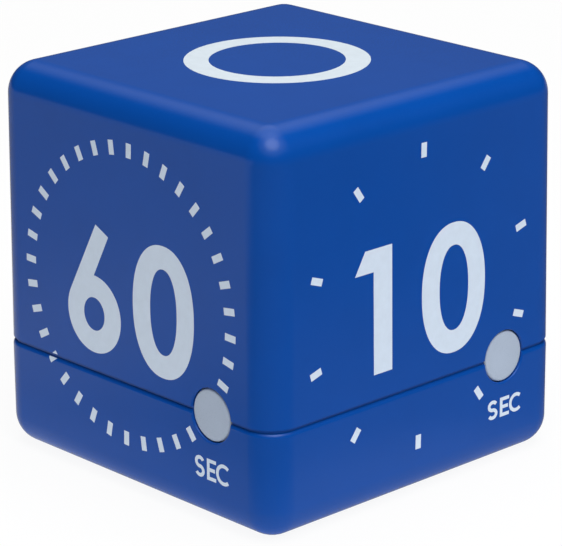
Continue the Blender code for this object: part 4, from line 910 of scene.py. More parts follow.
def print_dial(turns, drawing, material):
    """Lay a drawing on a face, parted at the seam so that none of it hangs over the gap."""
    upper_start = SKIRT + SKIRT_EDGE + INK_PROUD - DIAL_HEIGHT
    lower_end = BASE_RIM - BASE_EDGE * 0.3 - DIAL_HEIGHT
    lower = drawing.copy()
    whole = bmesh.new()
    for form, above in ((drawing, True), (lower, False)):
        keep_side(form, upper_start if above else lower_end, above)
        if not above:
            bend_over_rim(form)
        bmesh.ops.transform(form, matrix=dial_place(turns, above), verts=form.verts)
        add_form(whole, form)
    finish_piece("dial_print_" + FACES[turns], whole, material)


def make_dials(material):
    """The print of the four timed faces: 60, 10, 30 and 20, each with its ticks and SEC."""
    nought = ((7.8, -0.475), (6.6, 9.975), (7.875, -0.475), (2.875, 6.475))
    narrow = ((6.775, 0), (6.625, 9.95), (6.825, 0), (3.025, 6.5))
    sixty_start, ten_start, under_lens = -21.91, 88.63, (34, 35)
    sixty = [sixty_start + 10 * k for k in range(36) if k not in under_lens]
    ten = [ten_start + 36 * k for k in range(10)]
    drawn_in = [ten[6]]
    drawings = (
        (figure_six(), nought, sixty, (14.35, 21.75, -20.1, -23.35)),
        (figure_one(), narrow, ten, (14.35, 22.05, -19.85, -22.9)),
        (figure_three(), nought, lens_free(30), (14.25, 21.6, -20.1, -23.35)),
        (figure_two(), nought, lens_free(20), (14.25, 21.6, -20.1, -23.35)))
    for turns, (figure, second, angles, word) in enumerate(drawings):
        drawing = bmesh.new()
        for form in (figure, figure_nought(*second), tick_ring(angles, drawn_in), small_word(*word)):
            add_form(drawing, form)
        print_dial(turns, drawing, material)


def lens_free(count):
    """Evenly spaced tick angles, without those that would run under the lens."""
    lens, hidden = math.degrees(math.atan2(SEAM - DIAL_HEIGHT, LENS_OFFSET)), 13.5
    angles = [90 - 360 * k / count for k in range(count)]
    return [angle for angle in angles if abs((angle - lens + 180) % 360 - 180) > hidden]


def make_off_ring(material):
    """The plain ring on the top."""
    outer, inner = 13.85, 10.15
    form = ink_shape([round_shape((0, 0), radius, radius, steps=160) for radius in (outer, inner)])
    bmesh.ops.translate(form, verts=form.verts, vec=(0, 0, TOP - INK_PROUD))
    finish_piece("off_ring_print", form, material)


# Lenses and lamps

def make_lenses(lens_finish, lamp_finish, lead_finish):
    """Four crowned lenses, each with a flange inside the wall and a lamp behind it."""
    front, edge_radius = UPPER_HALF - 0.2 * MM, 0.4 * MM
    flange = UPPER_HALF - WALL - FIT
    back = flange - FLANGE
    flange_radius, hollow, hollow_end = 4.9 * MM, 1.9 * MM, 1.2 * MM
    crown = [(LENS_RADIUS * share, front + 0.16 * MM * (1 - share * share)) for share in
             (0, 0.15, 0.3, 0.45, 0.6, 0.75, 0.86)]
    edge = arc((LENS_RADIUS - edge_radius, front - 0.36 * MM), edge_radius, 78, 0, 6)
    profile = crown + edge + [(LENS_RADIUS, flange), (flange_radius, flange), (flange_radius, back)]
    profile += [(hollow, back), (hollow, back + 0.35 * MM), (hollow_end, back + 0.5 * MM),
                (0, back + 0.5 * MM)]
    for turns, face in enumerate(FACES):
        lens = new_spun(profile, lens_place(turns, LENS_HEIGHT), 96)
        finish_piece("lens_" + face, lens, lens_finish, replaces=["led_lens_" + face], slot="milky_lens",
                     smooth=50)
        make_lamp(turns, lamp_finish, lead_finish)


def make_lamp(turns, lamp_finish, lead_finish):
    """A clear 3 mm lamp lying behind its lens, and its two leads bent down into the board."""
    face = FACES[turns]
    tip = UPPER_HALF - WALL - FIT - FLANGE - FIT
    end = tip - 5.3 * MM
    radius, collar, bevelled = 1.5 * MM, 1.85 * MM, 1.78 * MM
    dome = arc((0, tip - radius), radius, 90, 0, 10)
    profile = dome + [(radius, end + 1.0 * MM), (bevelled, end + 1.0 * MM), (collar, end + 0.93 * MM),
                      (collar, end + 0.07 * MM), (bevelled, end), (0, end)]
    lamp = new_spun(profile, lens_place(turns, SEAM), 40)
    finish_piece("lamp_" + face, lamp, lamp_finish, replaces=["led_" + face], slot="clear_lamp")
    leads = bmesh.new()
    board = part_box("circuit_board")
    for side in (-1, 1):
        across = LENS_OFFSET + side * LEAD_REACH
        run = [(across, -(end + 0.4 * MM), SEAM), (across, -(end - 1.5 * MM), SEAM),
               (across, -(end - 1.85 * MM), SEAM - 0.12 * MM), (across, -(end - 2.0 * MM), SEAM - 0.5 * MM),
               (across, -(end - 2.0 * MM), board[0].z + 0.1 * MM)]
        turned = [(*quarter(px, py, turns), pz) for px, py, pz in run]
        add_form(leads, wire_form(turned, 0.25 * MM, 2))
    finish_piece("lamp_leads_" + face, leads, lead_finish)


# Battery door

def make_door(material):
    """The battery cover: two tabs at its hinge end, and a latch tongue between slots at the other."""
    low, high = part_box("battery_door")
    pivot, top, centre = low.x + PIVOT_INSET, low.z + 1.4 * MM, (low.y + high.y) / 2
    rib_half, tongue, tab_bottom, tab_top = 0.45 * MM, 7 * MM, 1.2 * MM, 1.8 * MM
    door = new_box((pivot, low.y, low.z), (high.x, high.y, top), 1.2 * MM, 8, along=Z_AXIS)
    soften_face(door, Z_AXIS, low.z, 0.18 * MM, 3)
    rib = new_box((pivot + tongue, centre - rib_half, top - FIT),
                  (high.x - 7.8 * MM, centre + rib_half, high.z), 0.2 * MM, 3)
    tabs, cuts, grips = (bmesh.new() for _ in range(3))
    for y in tab_places():
        add_box(tabs, (low.x, y - TAB_HALF, tab_bottom), (pivot + 0.9 * MM, y + TAB_HALF, tab_top),
                0.2 * MM, 3)
    for side in (-1, 1):
        near, far = sorted((centre + side * 4.0 * MM, centre + side * 4.8 * MM))
        add_box(cuts, (high.x - tongue, near, low.z - PAST), (high.x + PAST, far, top + PAST),
                0.35 * MM, 4, along=Z_AXIS)
    grip_half, grip_pitch = 2.8 * MM, 1.3 * MM
    for number in range(4):
        x = high.x - grip_pitch * (number + 1)
        add_rod(grips, 0.4 * MM, (x, centre - grip_half, low.z), (x, centre + grip_half, low.z), sides=24)
    x, y = (high.x / MM) - 10.2, centre / MM
    arrow = flat_plate([[(x + 1.9, y), (x - 1.1, y + 1.9), (x - 1.1, y - 1.9)]],
                       low.z - PAST, low.z + 0.25 * MM)
    door = carve(join(door, rib, tabs), cuts, grips, arrow)
    finish_shell("battery_cover", door, material, body="battery_door", replaces=["battery_door"])


# Display

def seven_segments(centre_x):
    """The six lit bars of a nought on a display, as outlines in millimetres."""
    half_wide, half_tall, bar, gap = 1.55, 1.5, 0.42, 0.09

    def level_bar(y):
        reach = half_wide - gap
        return [(centre_x - reach, y), (centre_x - reach + bar, y + bar), (centre_x + reach - bar, y + bar),
                (centre_x + reach, y), (centre_x + reach - bar, y - bar), (centre_x - reach + bar, y - bar)]

    def upright_bar(x, y):
        reach = half_tall - gap
        return [(x, y - reach), (x + bar, y - reach + bar), (x + bar, y + reach - bar), (x, y + reach),
                (x - bar, y + reach - bar), (x - bar, y - reach + bar)]

    sides = [upright_bar(centre_x + side * half_wide, up * half_tall) for side in (-1, 1) for up in (-1, 1)]
    return sides + [level_bar(2 * half_tall), level_bar(-2 * half_tall)]


def make_display(window_finish, mask_finish, glass_finish, film_finish, segment_finish):
    """The clear window with its dark border, the display's glass, and 00:00 on its film."""
    low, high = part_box("display_window")
    place = centred("display_window", 0)
    half_x, half_y = (high.x - low.x) / 2 / MM, (high.y - low.y) / 2 / MM
    window = new_box(low, high, 1.5 * MM, 8, along=Z_AXIS)
    soften_face(window, Z_AXIS, low.z, 0.12 * MM)
    finish_piece("display_window_clear", window, window_finish, replaces=["display_window"],
                 slot="clear_window")
    mask = flat_plate([rounded_outline(half_x - 0.2, half_y - 0.2, 1.3),
                       rounded_outline(half_x - 2.4, half_y - 1.9, 0.5)],
                      high.z + 0.01 * MM, high.z + 0.05 * MM, place)
    finish_piece("display_mask", mask, mask_finish)

    low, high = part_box("lcd_glass")
    middle_z = (low.z + high.z) / 2
    glass = new_box(low, (high.x, high.y, middle_z), 0.08 * MM, 2)
    add_form(glass, new_box((low.x, low.y, middle_z), (high.x, high.y - 2 * MM, high.z), 0.08 * MM, 2))
    finish_piece("display_glass", glass, glass_finish, replaces=["lcd_glass"], slot="lcd_glass")
    film_face = low.z - 0.08 * MM
    film = flat_plate([rounded_outline(13.9, 5.6, 0.3)], film_face, low.z - 0.02 * MM, place)
    finish_piece("display_film", film, film_finish)
    outlines = [bar for x in (-9.3, -3.9, 3.9, 9.3) for bar in seven_segments(x)]
    outlines += [rounded_outline(0.4, 0.4, 0.1, (0, y)) for y in (-1.5, 1.5)]
    seen_from_below = Matrix.Translation(((low.x + high.x) / 2, place.translation.y, film_face)) \
        @ Matrix.Rotation(math.pi, 4, "Y")
    segments = flat_plate(outlines, 0, 0.03 * MM, seen_from_below)
    finish_piece("display_segments", segments, segment_finish)


# Power

def wrapped_mark(places, axis_start, radius):
    """Small bars (place along, length, width) in millimetres laid round a cell's jacket."""
    form, sunk, thickness = bmesh.new(), 0.02 * MM, 0.05 * MM
    for along, length, width in places:
        bar = bmesh.new()
        bmesh.ops.create_grid(bar, x_segments=4, y_segments=14, size=0.5)
        bmesh.ops.scale(bar, verts=bar.verts, vec=(length * MM, width * MM, 1))
        raised = bmesh.ops.extrude_face_region(bar, geom=bar.faces[:])["geom"]
        bmesh.ops.translate(bar, verts=verts_in(raised), vec=(0, 0, thickness))
        for vert in bar.verts:
            angle = vert.co.y / radius
            reach = radius - sunk + vert.co.z
            vert.co = axis_start + Vector((vert.co.x + along * MM, reach * math.sin(angle),
                                           -reach * math.cos(angle)))
        bar.normal_update()
        bmesh.ops.recalc_face_normals(bar, faces=bar.faces)
        add_form(form, bar)
    return form


def make_cell(name, nub_end, can_finish, jacket_finish, band_finish, mark_finish):
    """A cell: a bare can with its nub, a film jacket, and a band near the nub."""
    low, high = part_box(name)
    start = Vector((low.x if nub_end > 0 else high.x, (low.y + high.y) / 2, (low.z + high.z) / 2))
    place = frame_at(start, (nub_end, 0, 0), (0, 0, 1))
    radius, length = (high.z - low.z) / 2, high.x - low.x
    bare, shoulder = radius - 0.2 * MM, length - 1.0 * MM
    flat_end = [(0, 0.2 * MM), (2.6 * MM, 0.2 * MM), (2.9 * MM, 0), (4.2 * MM, 0), (4.6 * MM, 0.1 * MM),
                (bare, 0.6 * MM)]
    shoulders = [(bare, shoulder - 0.5 * MM), (4.6 * MM, shoulder - 0.08 * MM), (4.2 * MM, shoulder),
                 (2.5 * MM, shoulder), (2.3 * MM, shoulder - 0.1 * MM), (2.05 * MM, shoulder - 0.1 * MM)]
    nub = [(1.9 * MM, shoulder + 0.1 * MM), (1.9 * MM, length - 0.3 * MM), (1.82 * MM, length - 0.1 * MM),
           (1.6 * MM, length), (0, length)]
    can = new_spun(flat_end + shoulders + nub, place, 64)
    finish_piece(name + "_can", can, can_finish, replaces=[name], slot="nickel")
    split = length * 0.72
    inner = bare + 0.02 * MM
    jacket = new_spun([(inner, 0.9 * MM), (4.5 * MM, 0.3 * MM), (4.3 * MM, 0.04 * MM),
                       (4.7 * MM, 0.08 * MM), (radius - 0.04 * MM, 0.5 * MM), (radius, 0.9 * MM),
                       (radius, split), (inner, split), (inner, 0.9 * MM)], place, 64)
    band = new_spun([(inner, split), (radius, split), (radius, shoulder - 0.8 * MM),
                     (radius - 0.05 * MM, shoulder - 0.4 * MM), (4.7 * MM, shoulder - 0.01 * MM),
                     (4.0 * MM, shoulder + 0.06 * MM), (4.0 * MM, shoulder + 0.01 * MM),
                     (inner, shoulder - 0.6 * MM), (inner, split)], place, 64)
    finish_piece(name + "_jacket", jacket, jacket_finish, slot="cell_jacket")
    finish_piece(name + "_band", band, band_finish, slot="cell_jacket")
    plus, minus = nub_end * (length / MM - 6), nub_end * 6
    bar_length, bar_width = 2.8, 0.6
    marks = wrapped_mark([(plus, bar_length, bar_width), (plus, bar_width, bar_length),
                          (minus, bar_width, bar_length)], start, radius)
    finish_piece(name + "_marks", marks, mark_finish)


def spring_form(end, plate_face, y, height):
    """A cone of wire from a contact's face to a cell, with a level last turn."""
    points = []
    reach, turns, steps, level_turns = 3.95 * MM, 4.6, 24, 0.8
    wide, narrowing = 3.6, 1.4
    for index in range(round(turns * steps) + 1):
        share = min(1, index / (steps * (turns - level_turns)))
        angle = math.tau * index / steps
        radius = (wide - narrowing * share) * MM
        points.append((plate_face - end * (0.24 * MM + (reach - 0.48 * MM) * share),
                       y + radius * math.cos(angle), height + radius * math.sin(angle)))
    return wire_form(points, 0.25 * MM, 3)


def make_contacts(material):
    """Three plated contacts: springs against the flat cell ends, dimples against the nubs."""
    thickness, height = 0.4 * MM, 9.4 * MM
    dimple = [(0, 0.22 * MM), (0.9 * MM, 0.2 * MM), (1.5 * MM, 0.1 * MM), (1.9 * MM, -0.02 * MM),
              (1.9 * MM, -0.1 * MM), (0, -0.1 * MM)]
    for name, end, springs, dimples in (("contact_negative", -1, ["cell_a"], []),
                                        ("contact_positive", -1, [], ["cell_b"]),
                                        ("contact_bridge", 1, ["cell_b"], ["cell_a"])):
        low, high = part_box(name)
        outer = low.x if end < 0 else high.x
        face = outer - end * thickness
        near, far = min(outer, face), max(outer, face)
        top = low.z + height
        contact = new_box((near, low.y, low.z), (far, high.y, top), 0.12 * MM, 2)
        if high.z > top + FIT:
            y, half = (low.y + high.y) / 2, 1.5 * MM
            contact = join(contact, new_box((near, y - half, top - 2 * MM), (far, y + half, high.z),
                                            0.1 * MM, 2))
        for cell in springs:
            point = middle(cell)
            add_form(contact, spring_form(end, face, point.y, point.z))
        for cell in dimples:
            point = middle(cell)
            add_spun(contact, dimple, frame_at((face, point.y, point.z), (-end, 0, 0), (0, 0, 1)), 40)
        finish_piece(name.replace("contact", "cell_contact"), contact, material, replaces=[name],
                     slot="nickel")


# Screws

def make_screw(node, material):
    """A pan-head screw with a cross recess and a rolled thread, drawn in millimetres."""
    low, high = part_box(node)
    case = node.startswith("case")
    head_radius, head_height, shank, pitch = (2.1, 1.5, 1.15, 0.95) if case else (1.7, 1.1, 0.85, 0.7)
    up = -1 if case else 1
    bearing = low.z + head_height * MM if case else high.z - head_height * MM
    length = (high.z - low.z) / MM - head_height
    place = frame_at(centred(node, bearing).translation, (0, 0, up)) @ Matrix.Scale(MM, 4)
    dome = [(0, head_height), (head_radius * 0.55, head_height - 0.03)]
    dome += arc((head_radius - 0.6, head_height - 0.66), 0.6, 70, 0, 5)
    profile = dome + [(head_radius, 0.1), (head_radius - 0.1, 0), (shank, 0), (shank, -length + 1.4),
                      (0.25, -length + 0.06), (0, -length)]
    reach, arm_half = head_radius * 0.52, 0.26
    cross = cross_form((-reach, -arm_half, head_height * 0.35), (reach, arm_half, head_height + 1), 20,
                       radius=0.1, steps=2, along=Z_AXIS)
    screw = carve(new_spun(profile, Matrix.Identity(4), 40), cross)
    thread = bmesh.new()
    turns = int((length - 2.4) / pitch)
    corners = [(shank - 0.06, -0.8), (shank + 0.27, -0.97), (shank - 0.06, -1.15)]
    verts = [thread.verts.new((radius, 0, height)) for radius, height in corners]
    loop = [thread.edges.new((verts[k], verts[(k + 1) % 3])) for k in range(3)]
    steps = 18 * turns
    bmesh.ops.spin(thread, geom=verts + loop, cent=(0, 0, 0), axis=(0, 0, 1),
                   dvec=(0, 0, -pitch * turns / steps), angle=math.tau * turns, steps=steps,
                   use_merge=False, use_duplicate=False)
    bmesh.ops.holes_fill(thread, edges=[edge for edge in thread.edges if edge.is_boundary], sides=0)
    bmesh.ops.recalc_face_normals(thread, faces=thread.faces)
    add_form(screw, thread)
    bmesh.ops.transform(screw, matrix=place, verts=screw.verts)
    finish_piece(node.replace("_screw_", "_cross_screw_"), screw, material, replaces=[node],
                 slot="zinc_screw")


# Sound switch

def make_thumb_slider(material):
    """The thumb piece with its grooves, its plate above the floor, and its fork round the lever."""
    low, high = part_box("switch_cap")
    x, y = (low.x + high.x) / 2, (low.y + high.y) / 2
    plate_low, beyond = WALL + FIT, 3 * MM
    plate_middle = plate_low + 0.5 * MM
    thumb_half, fork_half_x, fork_half_y, gap_half = 1.3 * MM, 2.1 * MM, 1.5 * MM, 1.1 * MM
    slider = new_box((low.x, low.y, plate_low), (high.x, high.y, plate_low + 1.0 * MM), 0.2 * MM, 3)
    thumb = new_box((x - thumb_half, y - thumb_half, low.z), (x + thumb_half, y + thumb_half, plate_middle),
                    0.22 * MM, 4)
    fork = new_box((x - fork_half_x, y - fork_half_y, plate_middle),
                   (x + fork_half_x, y + fork_half_y, high.z), 0.15 * MM, 2)
    lever_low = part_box("switch_lever")[0].z
    cuts = new_box((x - gap_half, y - beyond, lever_low - FIT), (x + gap_half, y + beyond, high.z + PAST))
    for side in (-1, 0, 1):
        groove = x + side * 0.8667 * MM
        add_rod(cuts, 0.17 * MM, (groove, y - beyond, low.z), (groove, y + beyond, low.z), sides=16)
    slider = carve(join(slider, thumb, fork), cuts)
    finish_piece("sound_thumb_slider", slider, material, body="sound_slider", replaces=["switch_cap"],
                 slot="cap_white")


# Works on the board

def make_tilt_switch(letter, can_finish, ball_finish):
    """A can with a round end and a rolled bead, and the ball inside it."""
    ball = middle("tilt_ball_" + letter)
    heading = {"a": (1, 1, 0), "b": (1, -1, 0), "c": (0, 0, 1)}[letter]
    side = (1, 0, 0) if letter == "c" else (0, 0, 1)
    ball_height = 4.2 * MM
    start = ball - Vector(heading).normalized() * ball_height
    place = frame_at(start, heading, side)
    inner, outer, bottom, top = 2.3 * MM, 2.6 * MM, 1.3 * MM, 10.5 * MM
    outer_round, inner_round, edge = 0.55 * MM, 0.4 * MM, 0.05 * MM
    bead = arc((outer - 0.02 * MM, bottom + 1.1 * MM), 0.12 * MM, -90, -270, 6)
    profile = [(0, top)] + arc((outer - outer_round, top - outer_round), outer_round, 90, 0, 6) + bead[::-1]
    profile += [(outer, bottom + edge), (outer - edge, bottom), (inner, bottom)]
    profile += arc((inner - inner_round, top - CAN_END - inner_round), inner_round, 0, 90, 4)
    profile += [(0, top - CAN_END)]
    can = new_spun(profile, place, 56)
    finish_piece("tilt_shell_" + letter, can, can_finish, replaces=["tilt_can_" + letter], slot="nickel")
    radius = 2.0 * MM
    sphere = new_spun(arc((0, 0), radius, 90, -90, 24), Matrix.Translation(ball), 48)
    finish_piece("steel_ball_" + letter, sphere, ball_finish, body="ball_" + letter,
                 replaces=["tilt_ball_" + letter], slot="bright_steel", smooth=60)


def make_capacitor(sleeve_finish, top_finish):
    """A sleeved can with its groove, and a bare top scored with a cross."""
    low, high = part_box("capacitor")
    centre = centred("capacitor", low.z)
    tall, radius = high.z - low.z, (high.x - low.x) / 2
    groove = arc((radius + 0.25 * MM, tall * 0.2), 0.5 * MM, 210, 150, 6)
    edge = arc((radius - 0.35 * MM, tall - 0.35 * MM), 0.35 * MM, 0, 90, 5)
    sleeve = new_spun([(0, 0), (radius - 0.1 * MM, 0), (radius, 0.1 * MM)] + groove + edge
                      + [(radius - 0.55 * MM, tall), (radius - 0.6 * MM, tall - 0.08 * MM),
                         (0, tall - 0.08 * MM)], centre, 56)
    finish_piece("capacitor_sleeve", sleeve, sleeve_finish, replaces=["capacitor"], slot="capacitor_sleeve")
    can_top = new_spun([(0, tall - 0.1 * MM), (radius - 0.62 * MM, tall - 0.1 * MM),
                        (radius - 0.66 * MM, tall - 0.03 * MM), (0, tall - 0.03 * MM)], centre, 56)
    arm_reach, arm_half = 1.5 * MM, 0.09 * MM
    vent = cross_form((-arm_reach, -arm_half, tall - 0.07 * MM), (arm_reach, arm_half, tall + PAST), 30,
                      centre)
    finish_piece("capacitor_top", carve(can_top, vent), top_finish)


def make_chip_legs(material):
    """Eleven bent legs on each side of the chip."""
    low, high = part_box("timer_chip")
    board_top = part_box("circuit_board")[1].z
    reach = (high.x - low.x) / 2 / MM
    width, thickness = 0.32, 0.14
    bends = ((reach - 0.1, 0.85), (reach + 0.25, 0.85), (reach + 0.4, 0.75), (reach + 0.5, 0.25),
             (reach + 0.62, 0.12), (reach + 1.0, 0.1))
    leg = strip_form([(x * MM, -width * MM / 2, z * MM) for x, z in bends], (0, width * MM, 0),
                     thickness * MM)
    centre, pitch = centred("timer_chip", board_top), 0.8 * MM
    places = [centre @ Matrix.Rotation(math.radians(90 * side), 4, "Z")
              @ Matrix.Translation((0, pitch * step, 0)) for side in range(4) for step in range(-5, 6)]
    legs = bmesh.new()
    add_copies(legs, leg, places)
    finish_piece("timer_chip_legs", legs, material)


def make_solder(joint_finish, body_finish):
    """Solder joints under the board, and the small resistors and their ends on top of it."""
    board_low, board_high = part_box("circuit_board")
    cone = [(0, 0.75 * MM), (0.22 * MM, 0.72 * MM), (0.36 * MM, 0.45 * MM), (0.62 * MM, 0.14 * MM),
            (0.95 * MM, 0.03 * MM), (0.95 * MM, -0.02 * MM), (0, -0.02 * MM)]
    lead_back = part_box("led_front")[1].y + 0.25 * MM
    joints = bmesh.new()
    for turns in range(4):
        for side in (-1, 1):
            x, y = quarter(LENS_OFFSET + side * LEAD_REACH, lead_back, turns)
            add_spun(joints, cone, frame_at((x, y, board_low.z), (0, 0, -1), (1, 0, 0)), 24)
    finish_piece("solder_joints", joints, joint_finish)
    bodies, ends = bmesh.new(), bmesh.new()
    for x, y, turned in ((-2.2, -10.5, 0), (-2.2, -8.3, 0), (-2.2, -6.1, 0), (-9.0, 0.0, 1),
                         (-6.4, 0.0, 1), (-11.6, 0.0, 1), (-17.2, -8.0, 0), (-17.2, -5.8, 0),
                         (16.5, 16.5, 0), (16.5, 18.7, 0)):
        turn = Matrix.Translation((x * MM, y * MM, board_high.z)) \
            @ Matrix.Rotation(math.radians(90 * turned), 4, "Z")
        body = new_box((-0.72 * MM, -0.6 * MM, 0.03 * MM), (0.72 * MM, 0.6 * MM, 0.5 * MM), 0.05 * MM, 2)
        caps = bmesh.new()
        for side in (-1, 1):
            near, far = sorted((side * 0.7 * MM, side * 1.02 * MM))
            add_box(caps, (near, -0.62 * MM, 0.01 * MM), (far, 0.62 * MM, 0.53 * MM), 0.06 * MM, 2)
        for part, whole in ((body, bodies), (caps, ends)):
            bmesh.ops.transform(part, matrix=turn, verts=part.verts)
            add_form(whole, part)
    finish_piece("chip_resistors", bodies, body_finish)
    finish_piece("chip_resistor_ends", ends, joint_finish)


def refinish(names, material):
    """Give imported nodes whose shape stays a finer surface."""
    for name in names:
        for slot in bpy.data.objects[name].material_slots:
            slot.material = material


# Studio

def make_camera():
    """The camera that took the photograph, as fitted to the cube's outline, dials and seam."""
    azimuth, elevation, roll = (math.radians(angle) for angle in CAMERA_ANGLES)
    back = Vector((math.sin(azimuth) * math.cos(elevation), -math.cos(azimuth) * math.cos(elevation),
                   math.sin(elevation)))
    level = Vector((math.cos(azimuth), math.sin(azimuth), 0))
    up = back.cross(level)
    right = math.cos(roll) * level + math.sin(roll) * up
    above = -math.sin(roll) * level + math.cos(roll) * up
    place = (back * CAMERA_DISTANCE + right * CAMERA_ASIDE + above * CAMERA_ABOVE
             + Vector((0, 0, AIM_HEIGHT)))
    lens = bpy.data.cameras.new("camera")
    lens.sensor_width = SENSOR_WIDTH
    lens.lens = FOCAL_PIXELS / PHOTO_PIXELS * SENSOR_WIDTH
    camera = bpy.data.objects.new("camera", lens)
    camera.matrix_world = Matrix.Translation(place) @ Matrix((right, above, back)).transposed().to_4x4()
    bpy.context.scene.collection.objects.link(camera)
    bpy.context.scene.camera = camera


def make_softbox(name, direction, distance, width, power):
    """A large lamp; its reflection is drawn by the world, in the shape the gloss needs."""
    lamp = bpy.data.lights.new(name, "AREA")
    lamp.size = width
    lamp.energy = power
    box = bpy.data.objects.new(name, lamp)
    along = Vector(direction).normalized()
    box.location = along * distance + Vector((0, 0, LAMP_AIM))
    box.rotation_euler = along.to_track_quat("Z", "Y").to_euler()
    box.visible_glossy = False
    bpy.context.scene.collection.objects.link(box)


def ray_switch(nodes, links, kinds):
    """One for the named kinds of ray, and nought for the others."""
    path = nodes.new("ShaderNodeLightPath")
    total = path.outputs[kinds[0]]
    for kind in kinds[1:]:
        total = reckon(nodes, links, "MAXIMUM", total, path.outputs[kind])
    return total


def reckon(nodes, links, operation, first, second):
    """Two values, or a value and a plain number, put together."""
    made = nodes.new("ShaderNodeMath")
    made.operation = operation
    links.new(first, made.inputs[0])
    if isinstance(second, (int, float)):
        made.inputs[1].default_value = second
    else:
        links.new(second, made.inputs[1])
    return made.outputs[0]


def ease(nodes, links, value, start, end, near_level, far_level):
    """A level that eases from near to far while a value runs from start to end."""
    level = spread(nodes, links, value, start, end, near_level, far_level)
    level.node.interpolation_type = "SMOOTHSTEP"
    return level


def reach_along(nodes, links, place, direction):
    """How far a place lies along a direction."""
    reach = nodes.new("ShaderNodeVectorMath")
    reach.operation = "DOT_PRODUCT"
    reach.inputs[1].default_value = direction
    links.new(place, reach.inputs[0])
    return reach.outputs["Value"]


def glow_round(nodes, links, place, direction, edge, core, level):
    """A soft round patch of light about a direction, from its edge to its core in degrees."""
    facing = reach_along(nodes, links, place, Vector(direction).normalized())
    return ease(nodes, links, facing, math.cos(math.radians(edge)), math.cos(math.radians(core)), 0, level)


def mix_shaders(nodes, links, share, first, second):
    """The first shader where the share is nought, and the second where it is one."""
    mix = nodes.new("ShaderNodeMixShader")
    links.new(share, mix.inputs["Fac"])
    links.new(first, mix.inputs[1])
    links.new(second, mix.inputs[2])
    return mix.outputs["Shader"]


def make_floor():
    """A white table: it is clear from below, and lights the underside of what stands on it."""
    form = bmesh.new()
    bmesh.ops.create_grid(form, x_segments=2, y_segments=2, size=FLOOR_HALF)
    floor = show("studio_floor", form)
    material, nodes, links, paper = start_finish("studio_white")
    set_inputs(paper, Base_Color=(0.8, 0.8, 0.8, 1), Roughness=1, Specular_IOR_Level=0)
    glow, mirrored, under = (nodes.new("ShaderNodeEmission") for _ in range(3))
    place = nodes.new("ShaderNodeTexCoord").outputs["Object"]
    links.new(mirrored_paper(nodes, links, place), mirrored.inputs["Strength"])
    direct = ray_switch(nodes, links, ["Is Camera Ray", "Is Transmission Ray"])
    share = reckon(nodes, links, "MULTIPLY", direct, FLOOR_GLOW)
    seen = mix_shaders(nodes, links, share, paper.outputs["BSDF"], glow.outputs["Emission"])
    in_gloss = ray_switch(nodes, links, ["Is Glossy Ray"])
    seen = mix_shaders(nodes, links, in_gloss, seen, mirrored.outputs["Emission"])
    furthest = square_reach(nodes, links, place)
    links.new(ease(nodes, links, furthest, BASE_HALF - 2 * CORNER, BASE_HALF, UNDER_LIGHT, NEAR_LIGHT),
              under.inputs["Strength"])
    close_by = ease(nodes, links, furthest, BASE_HALF, BASE_HALF + 40 * MM, 1, 0)
    covered = reckon(nodes, links, "MULTIPLY", close_by, ray_switch(nodes, links, ["Is Diffuse Ray"]))
    seen = mix_shaders(nodes, links, covered, seen, under.outputs["Emission"])
    back = nodes.new("ShaderNodeNewGeometry").outputs["Backfacing"]
    clear = nodes.new("ShaderNodeBsdfTransparent").outputs["BSDF"]
    links.new(mix_shaders(nodes, links, back, seen, clear), nodes["Material Output"].inputs["Surface"])
    material.cycles.emission_sampling = "NONE"
    floor.data.materials.append(material)


def mirrored_paper(nodes, links, place):
    """How bright gloss sees the paper: bright on the left and close by, dim before the near corner."""
    distance = nodes.new("ShaderNodeVectorMath")
    distance.operation = "LENGTH"
    links.new(place, distance.inputs[0])
    distance = distance.outputs["Value"]
    left = ease(nodes, links, reach_along(nodes, links, place, (-1, 0, 0)), -10 * MM, 85 * MM, 0.02, 0.48)
    left = reckon(nodes, links, "MULTIPLY", left, ease(nodes, links, distance, 80 * MM, 180 * MM, 1, 0.74))
    wide = ease(nodes, links, distance, 70 * MM, 150 * MM, 0.12, 0)
    rear = ease(nodes, links, reach_along(nodes, links, place, (-1, 1, 0)), -45 * MM, 8 * MM, 0, 0.12)
    close = ease(nodes, links, distance, 40 * MM, 60 * MM, 0.18, 0)
    aside = ease(nodes, links, reach_along(nodes, links, place, (1, -1, 0)), 50 * MM, 95 * MM, 1, 0)
    near = reckon(nodes, links, "MULTIPLY", reckon(nodes, links, "ADD", wide, close), aside)
    return reckon(nodes, links, "MAXIMUM", reckon(nodes, links, "ADD", left, near), rear)


def square_reach(nodes, links, place):
    """How far a place lies from the middle of the floor, along whichever side it lies further."""
    apart = nodes.new("ShaderNodeVectorMath")
    apart.operation = "ABSOLUTE"
    links.new(place, apart.inputs[0])
    parted = nodes.new("ShaderNodeSeparateXYZ")
    links.new(apart.outputs["Vector"], parted.inputs["Vector"])
    return reckon(nodes, links, "MAXIMUM", parted.outputs["X"], parted.outputs["Y"])


